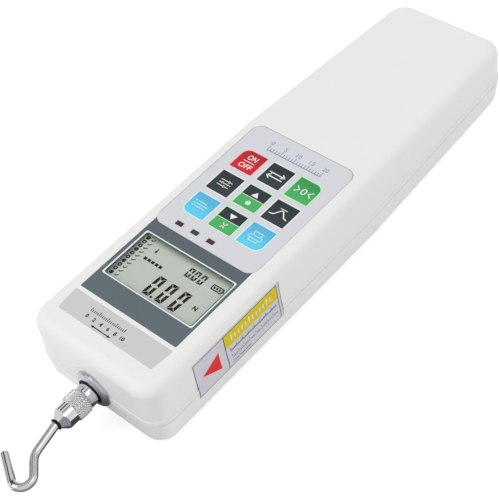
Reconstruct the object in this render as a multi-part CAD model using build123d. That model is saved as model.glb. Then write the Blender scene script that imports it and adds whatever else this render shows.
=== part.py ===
from build123d import *
import math
import os

# A hand-held force gauge with a pull hook.  Millimetres, +Z up out of the display face, the long
# axis along Y with the hook at -Y, and the origin in the middle of the flat back.

# Housing
HOUSING_WIDTH = 66.0
HOUSING_LENGTH = 230.0
HOUSING_HEIGHT = 36.0
JOINT_HEIGHT = 14.3        # where the two shells meet, the widest section
TAPER_PLACE = 129.5        # from the near end: past it the sides run in and the face falls
SIDE_TAPER = 4.5           # how far each side has run in at the far end
FACE_DROP = 3.5            # how far the face has fallen at the far end
NEAR_CORNER_RADIUS = 9.0   # corners seen from above
FAR_CORNER_RADIUS = 9.5
SIDE_BEND_RADIUS = 150.0   # soft bend of each side where the taper starts
FACE_BEND_RADIUS = 300.0
UPPER_DRAFT = 0.65         # degrees that the walls lean in above the joint
LOWER_DRAFT = 5.6          # and below it
TOP_EDGE_RADIUS = 5.2
BOTTOM_EDGE_RADIUS = 6.5
WALL = 2.5
FACE_WALL = 3.0
RIB_THICKNESS = 1.5
RIB_DEPTH = 3.0
RIB_FAR_PLACES = (80.0, 53.0, 23.0)  # ribs under the face, from the far end
LIP_THICKNESS = 1.0
LIP_HEIGHT = 2.0
JOINT_BAND_HEIGHT = 2.4    # raised band along the foot of the upper shell
JOINT_BAND_STEP = 0.35     # how far it stands out from the wall above it
JOINT_GROOVE = 0.35        # depth of the fine groove along the joint
JOINT_GROOVE_HEIGHT = 0.5
DIMPLE_FAR_PLACE = 37.0    # moulded dimple on the right-hand side, from the far end
DIMPLE_HEIGHT = 25.8
DIMPLE_RADIUS = 4.0
DIMPLE_DEPTH = 0.3

# Clearances
FIT = 0.05                 # radial, shafts and screws in their bores
SNUG = 0.1                 # between flat sides of parts that drop into each other
FREE = 0.35                # between faces that move past each other

# Keypad; each PLACE is a distance from the near end of the housing, each FAR_PLACE from its far end
KEYPAD_SIDE_MARGIN = 7.1
KEYPAD_PLACE = 63.9
KEYPAD_LENGTH = 64.5
KEYPAD_CORNER_RADIUS = 4.5
KEYPAD_RECESS = 1.4        # depth of its recess in the face
CIRCUIT_THICKNESS = 0.3
SPACER_THICKNESS = 0.9
FILM_THICKNESS = 0.3
KEY_SIZE = 10.8
KEY_PITCH_X = 14.4
KEY_PITCH_Y = 14.5
KEY_CENTRE_PLACE = 94.3
KEY_CORNER_RADIUS = 0.8
KEY_OUTER_CORNER_RADIUS = 3.2  # the outer corner of each corner key
KEY_FLANGE = 0.4           # how far the hidden flange stands out beyond the cap
KEY_FLANGE_THICKNESS = 0.3
KEY_PROUD = 0.1            # how far a cap stands above the film
KEY_TRAVEL = 0.25
DOME_DIAMETER = 9.0
KEY_NAMES = (
    ("key_memory", "key_down", "key_print"),
    ("key_set", "key_up", "key_peak"),
    ("key_on_off", "key_unit", "key_zero"),
)
TAIL_WIDTH = 12.0
TAIL_PLACE = 121.0
TAIL_SOCKET_HEIGHT = 1.8
TAIL_SOCKET_WALL = 1.5
TAIL_SOCKET_HALF_DEPTH = 1.6
TAIL_SLOT_DEPTH = 1.3

# Lamps
LAMP_WINDOW = (3.4, 2.0)
LAMP_CENTRES_X = (-14.9, -6.7, 1.5)
LAMP_PLACE = 67.9
LAMP_FLANGE = 0.6
LAMP_FLANGE_THICKNESS = 0.8
LAMP_CHIP = (2.0, 1.25, 0.8)

# Display
BEZEL_SIDE_MARGIN = 8.1
BEZEL_PLACE = 23.2
BEZEL_LENGTH = 43.2
BEZEL_THICKNESS = 1.2
BEZEL_CORNER_RADIUS = 0.6
WINDOW_SIDE_MARGIN = 2.3   # from the edge of the surround
WINDOW_INSET = 10.2
WINDOW_LENGTH = 24.3
WINDOW_CORNER_RADIUS = 1.2
LENS_LAP = 0.8             # how far the lens reaches under the surround
LENS_THICKNESS = 0.7
LENS_SINK = 0.1
GLASS_THICKNESS = 1.1
LCD_SIDE_MARGIN = 0.9
LCD_LEDGE = 2.4            # contact ledge of the lower glass
LCD_AIR = 0.2
FRAME_RAIL = 2.0
FRAME_FLOOR = 1.0

# Boards
BOARD_THICKNESS = 1.6
BOARD_CORNER_RADIUS = 1.5
MAIN_BOARD_DEPTH = 6.4     # its top below the face
MAIN_BOARD_SIDE_ROOM = 6.0
MAIN_BOARD_PLACE = 19.0
MAIN_BOARD_LENGTH = 105.5
MAIN_SCREW_SIDE_INSET = 3.5
MAIN_SCREW_NEAR_INSET = 4.5
MAIN_SCREW_FAR_INSET = 6.0
SMALL_SCREW_DIAMETER = 2.4
SMALL_SCREW_LENGTH = 4.6
SMALL_HEAD_DIAMETER = 4.4
SMALL_HEAD_HEIGHT = 1.6
SMALL_BOSS_DIAMETER = 5.6
# Chips under the main board: X, distance from its far edge, width, depth, height
BOARD_CHIPS = (
    (0.0, 41.5, 10.0, 10.0, 1.4), (-15.0, 37.5, 6.0, 5.0, 1.2), (14.0, 33.5, 5.0, 4.0, 1.2),
    (0.0, 81.5, 9.0, 6.0, 1.6), (-14.0, 15.5, 12.0, 5.5, 5.5), (8.0, 15.5, 7.5, 4.0, 4.5),
)
# Round components: X, distance from the far edge, diameter, height
BOARD_CANS = ((20.0, 23.5, 6.3, 5.4), (18.0, 45.5, 9.0, 4.5))
END_BOARD_TOP = 10.1
END_BOARD_SIDE_ROOM = 9.4
END_BOARD_FAR_PLACE = 6.5
END_BOARD_LENGTH = 19.0
END_SCREW_SIDE_INSET = 2.6
END_SCREW_NEAR_INSET = 3.0

# Spindle, coupling and hook, as stations along Y and diameters about the spindle axis
SPINDLE_DIAMETER = 9.5
SPINDLE_REACH = 5.5        # from the near end of the housing to the shoulder against the coupling
SPINDLE_SHOULDER_PLACE = 11.65  # shoulder in front of the load cell
SPINDLE_EDGE = 0.3
SPINDLE_STUD_DIAMETER = 5.9
NEAR_STUD_LENGTH = 3.1
CELL_STUD_LENGTH = 8.35
STOP_COLLAR_DIAMETER = 13.0
STOP_COLLAR_THICKNESS = 2.0
STOP_GAP = 0.5
BUSHING_FLANGE_DIAMETER = 20.0
BUSHING_MOUTH_DIAMETER = 11.0
BUSHING_BODY_DIAMETER = 14.0
BUSHING_SEAT_DEPTH = 0.8   # depths run into the housing from its near end, reaches stand out from it
BUSHING_RIM_REACH = 0.2
BUSHING_NOSE_REACH = 1.4
BUSHING_NOSE_CROWN = 0.35
BUSHING_EDGE = 0.3
BUSHING_MOUTH_DEPTH = 2.5
BUSHING_DEPTH = 7.5
BUSHING_NUT_ACROSS_FLATS = 18.0
BUSHING_NUT_THICKNESS = 3.0
BUSHING_NUT_DEPTH = 3.0
COUPLING_DIAMETER = 10.8
COUPLING_LENGTH = 6.7
COUPLING_CHAMFER = 0.9
COUPLING_MOUTH_CHAMFER = 0.65
COUPLING_CAVITY_DIAMETER = 7.2
COUPLING_COUNTERBORE_DIAMETER = 9.0
COUPLING_COUNTERBORE_DEPTH = 1.05
NUT_DIAMETER = 9.5
NUT_LENGTH = 7.0
NUT_NOSE_ACROSS_FLATS = 4.1
NUT_FLAT_RISE = 5.88       # how far the six flats would spread on each side over the nut's length
ROD_DIAMETER = 3.5
ROD_TIP_EDGE = 0.3
HOOK_HEAD_DIAMETER = 6.2
HOOK_HEAD_THICKNESS = 1.5
HOOK_SHANK_LENGTH = 9.0    # straight rod from the head to the first bend
HOOK_FIRST_BEND = (12.65, 5.0)    # degrees to the right, radius
HOOK_LEG_LENGTH = 10.44
HOOK_SECOND_BEND = (34.35, 8.0)
HOOK_OUTER_LEG_LENGTH = 5.93
HOOK_BOWL = (167.0, 4.04)  # degrees back round, radius
HOOK_TIP_LENGTH = 12.65
RING_THICKNESS = 0.7

# Housing screws and the threaded inserts in the back
NEAR_SCREW_SIDE_INSET = 9.0
NEAR_SCREW_PLACE = 9.0
MIDDLE_SCREW_SIDE_INSET = 8.5
MIDDLE_SCREW_PLACE = 130.0
FAR_SCREW_SIDE_INSET = 9.5
FAR_SCREW_FAR_PLACE = 31.0
HOUSING_SCREW_DIAMETER = 2.9
HOUSING_SCREW_PLAY = 0.3
HOUSING_HEAD_DIAMETER = 5.6
HOUSING_HEAD_HEIGHT = 2.2
HOUSING_HEAD_PLAY = 0.6
HOUSING_HEAD_SEAT = 8.0
HOUSING_SCREW_END = 22.0
PILOT_RUN_OUT = 2.0
REAR_BOSS_DIAMETER = 9.0
FRONT_BOSS_DIAMETER = 7.5
INSERT_SPACING_X = 44.0
INSERT_SPACING_Y = 80.0
INSERT_CENTRE_PLACE = 80.0
INSERT_BORE = 4.0
INSERT_DIAMETER = 5.8
INSERT_LENGTH = 6.0
INSERT_FLOOR = 1.2
INSERT_BOSS_DIAMETER = 9.0

# Load cell and its bracket
CELL_SIDE_GAP = 5.0        # from the axis of the near screws
CELL_BOTTOM = 8.0
CELL_HEADROOM = 4.0        # between the cell and the main board
CELL_LENGTH = 44.0
CELL_EDGE = 1.0
CELL_GAP = 0.35            # spindle shoulder to cell, the room for its deflection
CELL_SLOT = 2.5
CELL_SLOT_INSET = 10.0     # slot to the end face
CELL_SLOT_LAND = 8.0       # metal left beyond the end of a slot
CELL_HOLE_DIAMETER = 11.0
CELL_HOLE_SPACING = 13.0
BRACKET_SIDE_STEP = 2.0    # how much narrower than the cell on each side
BRACKET_WALL = 6.0
BRACKET_FOOT_LENGTH = 20.0
BRACKET_FOOT_THICKNESS = 3.0
BRACKET_SEAT = 6.0         # height of the bosses that carry the foot
BRACKET_RISE = 1.0         # how far it stands above the cell
BRACKET_GUSSET = 3.0
BRACKET_GUSSET_STEP = 2.0
BRACKET_SCREW_SIDE_MARGIN = 7.0   # from the side of the bracket to the axis
CELL_BOLT_DIAMETER = 6.0
CELL_BOLT_HEAD_DIAMETER = 10.0
CELL_BOLT_HEAD_HEIGHT = 4.0
CELL_BOLT_SOCKET = 5.0
CELL_BOLT_REACH = 9.0
BRACKET_SCREW_DIAMETER = 4.0
BRACKET_SCREW_HEAD_DIAMETER = 7.0
BRACKET_SCREW_HEAD_HEIGHT = 2.6
BRACKET_SCREW_REACH = 4.0
BRACKET_BOSS_DIAMETER = 9.0
SCREW_PLAY = 0.4           # clearance holes, on the diameter
PILOT_PLAY = 0.4           # room past a screw's tip

# Battery
BATTERY_SIDE_ROOM = 9.0
BATTERY_SPACE = 1.8        # between neighbouring cells
BATTERY_PLACE = 139.6
BATTERY_FAR_PLACE = 40.4
BATTERY_COUNT = 3
BATTERY_EDGE_RADIUS = 0.6
TERMINAL_DIAMETER = 5.4
TERMINAL_HEIGHT = 1.0
TRAY_SEAT = 4.5
TRAY_FLOOR = 1.6
TRAY_WALL = 1.4
TRAY_HEIGHT = 10.5
TRAY_RIB_INSET = 6.0
CONTACT_THICKNESS = 0.5
CONTACT_HALF_WIDTH = 4.0
SPRING_TIP_RADIUS = 2.0
SPRING_BASE_RADIUS = 3.6
SPRING_ROOM = 2.6
STRAP_WIDTH = 10.0
STRAP_THICKNESS = 1.0
STRAP_HEM_HEIGHT = 3.0
STRAP_EDGE_RADIUS = 2.0

# Sockets in the far end
CHARGE_SOCKET_X = 14.3
CHARGE_BODY = (9.0, 13.0, 11.0)
CHARGE_BORE = 6.0
CHARGE_PIN = 2.1
CHARGE_PIN_SETBACK = 0.8
CHARGE_DEPTH = 9.0
CHARGE_OPENING = 8.0
DATA_SOCKET_X = -5.8
DATA_FLANGE = (30.8, 12.5)
DATA_FLANGE_THICKNESS = 1.0
DATA_SHELL = (17.0, 8.4)
DATA_SHELL_SLANT = 1.6     # how much narrower each side is at the foot
DATA_SHELL_RADIUS = 1.6
DATA_SHELL_REACH = 2.8
DATA_BODY_MARGIN = 1.0
DATA_BODY_DEPTH = 9.0
DATA_PIN_PITCH = 2.77
DATA_ROW_HEIGHT = 1.42
DATA_PIN_DIAMETER = 1.1
DATA_OPENING_GAP = 0.8
DATA_OPENING_RADIUS = 1.5
DATA_NUT_SPACING = 25.0
DATA_NUT_DIAMETER = 4.8
DATA_NUT_BORE = 2.4
DATA_NUT_SETBACK = 1.0
SOCKET_SETBACK = 1.1       # socket faces behind the inside of the end wall

# Levels and stations that follow from the sizes above
NEAR_END = -HOUSING_LENGTH / 2
FAR_END = HOUSING_LENGTH / 2
HALF_WIDTH = HOUSING_WIDTH / 2
TAPER_START = NEAR_END + TAPER_PLACE
FACE_INSIDE = HOUSING_HEIGHT - FACE_WALL
KEYPAD_HALF_WIDTH = HALF_WIDTH - KEYPAD_SIDE_MARGIN
KEYPAD_NEAR = NEAR_END + KEYPAD_PLACE
KEYPAD_FAR = KEYPAD_NEAR + KEYPAD_LENGTH
KEYPAD_FLOOR = HOUSING_HEIGHT - KEYPAD_RECESS
CIRCUIT_TOP = KEYPAD_FLOOR + CIRCUIT_THICKNESS
SPACER_TOP = CIRCUIT_TOP + SPACER_THICKNESS
FILM_TOP = SPACER_TOP + FILM_THICKNESS
KEY_TOP = FILM_TOP + KEY_PROUD
KEY_CENTRE_Y = NEAR_END + KEY_CENTRE_PLACE
DOME_HEIGHT = SPACER_THICKNESS - KEY_FLANGE_THICKNESS - KEY_TRAVEL - FIT
TAIL_Y = NEAR_END + TAIL_PLACE
LAMP_Y = NEAR_END + LAMP_PLACE
BEZEL_HALF_WIDTH = HALF_WIDTH - BEZEL_SIDE_MARGIN
BEZEL_NEAR = NEAR_END + BEZEL_PLACE
BEZEL_FAR = BEZEL_NEAR + BEZEL_LENGTH
BEZEL_TOP = KEYPAD_FLOOR + BEZEL_THICKNESS
WINDOW_HALF_WIDTH = BEZEL_HALF_WIDTH - WINDOW_SIDE_MARGIN
WINDOW_NEAR = BEZEL_NEAR + WINDOW_INSET
WINDOW_FAR = WINDOW_NEAR + WINDOW_LENGTH
LCD_TOP = KEYPAD_FLOOR - LCD_AIR
LCD_HALF_WIDTH = WINDOW_HALF_WIDTH + LCD_SIDE_MARGIN
LCD_NEAR = WINDOW_NEAR - LCD_SIDE_MARGIN
LCD_FAR = WINDOW_FAR + LCD_SIDE_MARGIN
MAIN_BOARD_TOP = HOUSING_HEIGHT - MAIN_BOARD_DEPTH
MAIN_BOARD_BOTTOM = MAIN_BOARD_TOP - BOARD_THICKNESS
MAIN_BOARD_HALF_WIDTH = HALF_WIDTH - MAIN_BOARD_SIDE_ROOM
MAIN_BOARD_NEAR = NEAR_END + MAIN_BOARD_PLACE
MAIN_BOARD_FAR = MAIN_BOARD_NEAR + MAIN_BOARD_LENGTH
MAIN_SCREW_X = MAIN_BOARD_HALF_WIDTH - MAIN_SCREW_SIDE_INSET
MAIN_SCREW_Y = (MAIN_BOARD_NEAR + MAIN_SCREW_NEAR_INSET, MAIN_BOARD_FAR - MAIN_SCREW_FAR_INSET)
END_BOARD_BOTTOM = END_BOARD_TOP - BOARD_THICKNESS
END_BOARD_HALF_WIDTH = HALF_WIDTH - END_BOARD_SIDE_ROOM
END_BOARD_FAR = FAR_END - END_BOARD_FAR_PLACE
END_BOARD_NEAR = END_BOARD_FAR - END_BOARD_LENGTH
END_SCREW_X = END_BOARD_HALF_WIDTH - END_SCREW_SIDE_INSET
END_SCREW_Y = END_BOARD_NEAR + END_SCREW_NEAR_INSET
CELL_TOP = MAIN_BOARD_BOTTOM - CELL_HEADROOM
CELL_HALF_WIDTH = HALF_WIDTH - NEAR_SCREW_SIDE_INSET - CELL_SIDE_GAP
CELL_SLOT_END = CELL_HALF_WIDTH - CELL_SLOT_LAND
SPINDLE_HEIGHT = (CELL_BOTTOM + CELL_TOP) / 2
SPINDLE_TIP = NEAR_END - SPINDLE_REACH
SPINDLE_SHOULDER = NEAR_END + SPINDLE_SHOULDER_PLACE
BUSHING_SEAT = NEAR_END + BUSHING_SEAT_DEPTH
BUSHING_RIM = NEAR_END - BUSHING_RIM_REACH
BUSHING_NOSE = NEAR_END - BUSHING_NOSE_REACH
BUSHING_MOUTH_END = NEAR_END + BUSHING_MOUTH_DEPTH
BUSHING_END = NEAR_END + BUSHING_DEPTH
BUSHING_NUT_SEAT = NEAR_END + BUSHING_NUT_DEPTH
COUPLING_END = SPINDLE_TIP - COUPLING_LENGTH
NUT_NOSE_END = COUPLING_END - NUT_LENGTH
STUD_END = SPINDLE_TIP - NEAR_STUD_LENGTH
CELL_NEAR = SPINDLE_SHOULDER + CELL_GAP
CELL_FAR = CELL_NEAR + CELL_LENGTH
BRACKET_HALF_WIDTH = CELL_HALF_WIDTH - BRACKET_SIDE_STEP
BRACKET_SCREW_X = BRACKET_HALF_WIDTH - BRACKET_SCREW_SIDE_MARGIN
BRACKET_TOP = CELL_TOP + BRACKET_RISE
BRACKET_FAR = CELL_FAR + BRACKET_WALL
BRACKET_SCREW_Y = BRACKET_FAR + BRACKET_FOOT_LENGTH / 2
HOUSING_SCREW_PLACES = (
    (HALF_WIDTH - NEAR_SCREW_SIDE_INSET, NEAR_END + NEAR_SCREW_PLACE),
    (HALF_WIDTH - MIDDLE_SCREW_SIDE_INSET, NEAR_END + MIDDLE_SCREW_PLACE),
    (HALF_WIDTH - FAR_SCREW_SIDE_INSET, FAR_END - FAR_SCREW_FAR_PLACE),
)
INSERT_CENTRE_Y = NEAR_END + INSERT_CENTRE_PLACE
BATTERY_PITCH = (HOUSING_WIDTH - 2 * BATTERY_SIDE_ROOM) / BATTERY_COUNT
BATTERY_DIAMETER = BATTERY_PITCH - BATTERY_SPACE
BATTERY_AXIS = TRAY_SEAT + TRAY_FLOOR + BATTERY_DIAMETER / 2
BATTERY_NEAR = NEAR_END + BATTERY_PLACE
BATTERY_FAR = FAR_END - BATTERY_FAR_PLACE
TRAY_NEAR = BATTERY_NEAR - SPRING_ROOM - TRAY_WALL
TRAY_FAR = BATTERY_FAR + TERMINAL_HEIGHT + CONTACT_THICKNESS + TRAY_WALL
TRAY_HALF_WIDTH = ((BATTERY_COUNT - 1) * BATTERY_PITCH + BATTERY_DIAMETER) / 2 + SNUG + TRAY_WALL


def block(x_low, x_high, y_low, y_high, z_low, z_high):
    """A box between two corners."""
    centre = Pos((x_low + x_high) / 2, (y_low + y_high) / 2, (z_low + z_high) / 2)
    return centre * Box(x_high - x_low, y_high - y_low, z_high - z_low)


def plate(half_width, y_low, y_high, z_low, z_high, radius):
    """A flat plate with rounded corners, even about the middle plane."""
    outline = RectangleRounded(2 * half_width, y_high - y_low, radius)
    return extrude(Pos(0, (y_low + y_high) / 2, z_low) * outline, z_high - z_low)


def upright(x, y, z_low, z_high, diameter):
    """A round bar along Z."""
    return Pos(x, y, (z_low + z_high) / 2) * Cylinder(diameter / 2, z_high - z_low)


def lying(x, z, y_low, y_high, diameter):
    """A round bar along Y."""
    return Pos(x, (y_low + y_high) / 2, z) * Rot(90, 0, 0) * Cylinder(diameter / 2, y_high - y_low)


def turned(stations):
    """A body turned about the spindle axis from (station along Y, radius) points."""
    profile = make_face(Polyline(*[(radius, station) for station, radius in stations], close=True))
    return Pos(0, 0, SPINDLE_HEIGHT) * revolve(profile, Axis.Y)


def joined(pieces):
    """All pieces as one shape."""
    pieces = list(pieces)
    return pieces[0].fuse(*pieces[1:]) if len(pieces) > 1 else pieces[0]


def save(name, *solids):
    """Write one node; several separate solids stay separate in it."""
    bodies = [body for shape in solids for body in shape.solids()]
    shape = bodies[0] if len(bodies) == 1 else Compound(children=bodies)
    shape.label = name
    export_step(shape, f"parts/{name}.step")


# Housing

def side_x(y):
    """Half width of the housing at the joint."""
    past_bend = max(0.0, y - TAPER_START)
    return HALF_WIDTH - SIDE_TAPER * past_bend / (FAR_END - TAPER_START)


def outline(inset):
    """Plan outline of the housing, moved in by inset."""
    near_half = HALF_WIDTH - inset
    far_half = near_half - SIDE_TAPER
    end = FAR_END - inset
    points = [
        (-near_half, -end), (near_half, -end), (near_half, TAPER_START),
        (far_half, end), (-far_half, end), (-near_half, TAPER_START),
    ]
    near_radius = NEAR_CORNER_RADIUS - inset
    far_radius = FAR_CORNER_RADIUS - inset
    radii = [near_radius, near_radius, SIDE_BEND_RADIUS, far_radius, far_radius, SIDE_BEND_RADIUS]
    return make_face(FilletPolyline(*points, radius=radii, close=True))


def side_profile(inset, face_inset):
    """Everything under the face, which falls towards the far end."""
    reach = FAR_END + 5
    slope = FACE_DROP / (FAR_END - TAPER_START)
    top = HOUSING_HEIGHT - face_inset
    points = [(-reach, inset), (-reach, top), (TAPER_START, top), (reach, top - slope * (reach - TAPER_START)),
              (reach, inset)]
    edge = FilletPolyline(*points, radius=[0, 0, FACE_BEND_RADIUS, 0, 0], close=True)
    return extrude(Plane.YZ * make_face(edge), HOUSING_WIDTH, both=True)


def envelope(inset, face_inset):
    """The housing as one solid, moved in on every side, with its edges rounded."""
    joint = Pos(0, 0, JOINT_HEIGHT)
    plan = joint * outline(inset)
    upper = extrude(joint * outline(inset + JOINT_BAND_STEP), HOUSING_HEIGHT - JOINT_HEIGHT, taper=UPPER_DRAFT)
    band = extrude(plan, JOINT_BAND_HEIGHT, taper=UPPER_DRAFT)
    lower = extrude(plan, JOINT_HEIGHT, dir=(0, 0, -1), taper=LOWER_DRAFT)
    body = (upper + band + lower) & side_profile(inset, face_inset)
    body = body.solid()
    lowest_top = HOUSING_HEIGHT - face_inset - FACE_DROP - 1
    rim = [edge for edge in body.edges()
           if edge.bounding_box().min.Z > lowest_top
           and (abs(edge.center().X) > 1 or abs(edge.center().Y) > abs(TAPER_START) + 20)]
    body = fillet(rim, TOP_EDGE_RADIUS - inset)
    base = body.edges().group_by(Axis.Z)[0]
    return fillet(base, BOTTOM_EDGE_RADIUS - inset)


def screw_places(places):
    """Each place and its mirror image across the middle plane."""
    return [(side * x, y) for x, y in places for side in (-1, 1)]


HOUSING_SCREWS = screw_places(HOUSING_SCREW_PLACES)
MAIN_SCREWS = screw_places([(MAIN_SCREW_X, y) for y in MAIN_SCREW_Y])
END_SCREWS = screw_places([(END_SCREW_X, END_SCREW_Y)])
BRACKET_SCREWS = screw_places([(BRACKET_SCREW_X, BRACKET_SCREW_Y)])
INSERT_PLACES = screw_places([(INSERT_SPACING_X / 2, INSERT_CENTRE_Y - INSERT_SPACING_Y / 2),
                              (INSERT_SPACING_X / 2, INSERT_CENTRE_Y + INSERT_SPACING_Y / 2)])


def nose_cuts():
    """Bore and seats of the nose bushing, through both shells."""
    bore = lying(0, SPINDLE_HEIGHT, NEAR_END - 1, BUSHING_END, BUSHING_BODY_DIAMETER + 2 * FIT)
    seat = lying(0, SPINDLE_HEIGHT, NEAR_END - 1, BUSHING_SEAT, BUSHING_FLANGE_DIAMETER + 2 * SNUG)
    nut_room = BUSHING_NUT_ACROSS_FLATS / math.cos(math.radians(30)) + 2 * FREE
    inside = lying(0, SPINDLE_HEIGHT, BUSHING_NUT_SEAT, BUSHING_END, nut_room)
    return bore + seat + inside


def socket_cuts():
    """Openings of the two sockets in the far end wall."""
    charge = lying(CHARGE_SOCKET_X, charge_axis(), FAR_END - 3 * WALL, FAR_END + 1, CHARGE_OPENING)
    opening = RectangleRounded(DATA_SHELL[0] + 2 * DATA_OPENING_GAP, DATA_SHELL[1] + 2 * DATA_OPENING_GAP,
                                DATA_OPENING_RADIUS)
    data = extrude(Plane.XZ * Pos(DATA_SOCKET_X, data_axis()) * opening, -(FAR_END + 1))
    data = data & block(-FAR_END, FAR_END, FAR_END - 3 * WALL, FAR_END + 1, 0, HOUSING_HEIGHT)
    nuts = joined(lying(DATA_SOCKET_X + side * DATA_NUT_SPACING / 2, data_axis(), FAR_END - 3 * WALL,
                        FAR_END + 1, DATA_NUT_DIAMETER + 2 * FREE) for side in (-1, 1))
    return charge + data + nuts


def charge_axis():
    return END_BOARD_TOP + CHARGE_BODY[2] / 2


def data_axis():
    return END_BOARD_TOP + DATA_FLANGE[1] / 2


def front_housing():
    """Upper shell: face with its recesses and windows, bosses, ribs and the rebate of the joint."""
    outer = envelope(0, 0)
    shell = outer - envelope(WALL, FACE_WALL)
    inner_limit = envelope(WALL / 2, FACE_WALL / 2)
    bosses = [upright(x, y, JOINT_HEIGHT, HOUSING_HEIGHT, FRONT_BOSS_DIAMETER) for x, y in HOUSING_SCREWS]
    bosses += [upright(x, y, MAIN_BOARD_TOP, HOUSING_HEIGHT, SMALL_BOSS_DIAMETER) for x, y in MAIN_SCREWS]
    rib_floor = HOUSING_HEIGHT - FACE_DROP - FACE_WALL - RIB_DEPTH
    ribs = [block(-HOUSING_WIDTH, HOUSING_WIDTH, y - RIB_THICKNESS / 2, y + RIB_THICKNESS / 2, rib_floor,
                  HOUSING_HEIGHT) for y in [FAR_END - place for place in RIB_FAR_PLACES]]
    shell = shell + (joined(bosses + ribs) & inner_limit)
    top_half = block(-HOUSING_WIDTH, HOUSING_WIDTH, -HOUSING_LENGTH, HOUSING_LENGTH, JOINT_HEIGHT,
                     HOUSING_HEIGHT + 1)
    shell = shell & top_half

    plan = Pos(0, 0, JOINT_HEIGHT)
    groove = extrude(plan * (outline(-1) - outline(JOINT_GROOVE)), JOINT_GROOVE_HEIGHT)
    rebate_outline = outline(WALL - LIP_THICKNESS - SNUG) - outline(WALL + 1)
    rebate = extrude(plan * rebate_outline, LIP_HEIGHT + SNUG)
    rebate = rebate - joined(upright(x, y, 0, HOUSING_HEIGHT, FRONT_BOSS_DIAMETER) for x, y in HOUSING_SCREWS)
    keypad = plate(KEYPAD_HALF_WIDTH + SNUG, KEYPAD_NEAR - SNUG, KEYPAD_FAR + SNUG, KEYPAD_FLOOR,
                   HOUSING_HEIGHT + 1, KEYPAD_CORNER_RADIUS + SNUG)
    bezel = plate(BEZEL_HALF_WIDTH + SNUG, BEZEL_NEAR - SNUG, KEYPAD_NEAR + 5, KEYPAD_FLOOR,
                  HOUSING_HEIGHT + 1, BEZEL_CORNER_RADIUS)
    display = block(-LCD_HALF_WIDTH - FREE, LCD_HALF_WIDTH + FREE, LCD_NEAR - LCD_LEDGE - FREE,
                    LCD_FAR + FREE, FACE_INSIDE - 1, HOUSING_HEIGHT)
    tail = block(-TAIL_WIDTH / 2 - FREE, TAIL_WIDTH / 2 + FREE, TAIL_Y - 2 * FREE, TAIL_Y + 2 * FREE,
                 FACE_INSIDE - 1, HOUSING_HEIGHT)
    pilots = [upright(x, y, JOINT_HEIGHT - 1, HOUSING_SCREW_END + PILOT_RUN_OUT, HOUSING_SCREW_DIAMETER + 2 * FIT)
              for x, y in HOUSING_SCREWS]
    small_reach = MAIN_BOARD_BOTTOM + SMALL_SCREW_LENGTH + PILOT_PLAY
    pilots += [upright(x, y, MAIN_BOARD_TOP - 1, small_reach, SMALL_SCREW_DIAMETER + 2 * FIT)
               for x, y in MAIN_SCREWS]
    dimple_y = FAR_END - DIMPLE_FAR_PLACE
    lean = math.tan(math.radians(UPPER_DRAFT)) * (DIMPLE_HEIGHT - JOINT_HEIGHT)
    wall_x = side_x(dimple_y) - JOINT_BAND_STEP - lean
    dimple = Pos(wall_x - DIMPLE_DEPTH + DIMPLE_RADIUS, dimple_y, DIMPLE_HEIGHT) * Sphere(DIMPLE_RADIUS)
    cuts = [groove, rebate, keypad, bezel, display, tail, nose_cuts(), socket_cuts(), dimple,
            lamp_openings(FACE_INSIDE - 1, HOUSING_HEIGHT)] + pilots
    for cut in cuts:
        shell = shell - cut
    return shell


def rear_housing():
    """Lower shell: floor, bosses, seats, tray ribs and the lip of the joint."""
    shell = envelope(0, 0) - envelope(WALL, FACE_WALL)
    bosses = [upright(x, y, 0, JOINT_HEIGHT, REAR_BOSS_DIAMETER) for x, y in HOUSING_SCREWS]
    bosses += [upright(x, y, 0, INSERT_LENGTH + INSERT_FLOOR, INSERT_BOSS_DIAMETER) for x, y in INSERT_PLACES]
    bosses += [upright(x, y, 0, BRACKET_SEAT, BRACKET_BOSS_DIAMETER) for x, y in BRACKET_SCREWS]
    bosses += [upright(x, y, 0, END_BOARD_BOTTOM, SMALL_BOSS_DIAMETER) for x, y in END_SCREWS]
    tray_ribs = [block(-HOUSING_WIDTH, HOUSING_WIDTH, y - RIB_THICKNESS, y + RIB_THICKNESS, 0, TRAY_SEAT)
                 for y in (BATTERY_NEAR + TRAY_RIB_INSET, BATTERY_FAR - TRAY_RIB_INSET)]
    inner_limit = envelope(WALL / 2, FACE_WALL / 2)
    shell = shell + (joined(bosses + tray_ribs) & inner_limit)
    bottom_half = block(-HOUSING_WIDTH, HOUSING_WIDTH, -HOUSING_LENGTH, HOUSING_LENGTH, -1, JOINT_HEIGHT)
    shell = shell & bottom_half
    lip = extrude(Pos(0, 0, JOINT_HEIGHT) * (outline(WALL - LIP_THICKNESS) - outline(WALL)), LIP_HEIGHT)
    lip = lip - joined(upright(x, y, 0, HOUSING_HEIGHT, FRONT_BOSS_DIAMETER + 2 * SNUG)
                       for x, y in HOUSING_SCREWS)
    shell = shell + lip
    cuts = [nose_cuts(), socket_cuts()]
    for x, y in HOUSING_SCREWS:
        cuts.append(upright(x, y, -1, HOUSING_HEAD_SEAT, HOUSING_HEAD_DIAMETER + HOUSING_HEAD_PLAY))
        cuts.append(upright(x, y, 0, JOINT_HEIGHT + 1, HOUSING_SCREW_DIAMETER + HOUSING_SCREW_PLAY))
    for x, y in INSERT_PLACES:
        cuts.append(upright(x, y, -1, INSERT_LENGTH, INSERT_DIAMETER + 2 * FIT))
    for x, y in BRACKET_SCREWS:
        cuts.append(upright(x, y, BRACKET_SEAT - BRACKET_SCREW_REACH - PILOT_PLAY, BRACKET_SEAT + 1,
                            BRACKET_SCREW_DIAMETER + 2 * FIT))
    for x, y in END_SCREWS:
        cuts.append(upright(x, y, END_BOARD_TOP - SMALL_SCREW_LENGTH - PILOT_PLAY, END_BOARD_TOP,
                            SMALL_SCREW_DIAMETER + 2 * FIT))
    for cut in cuts:
        shell = shell - cut
    return shell


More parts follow.
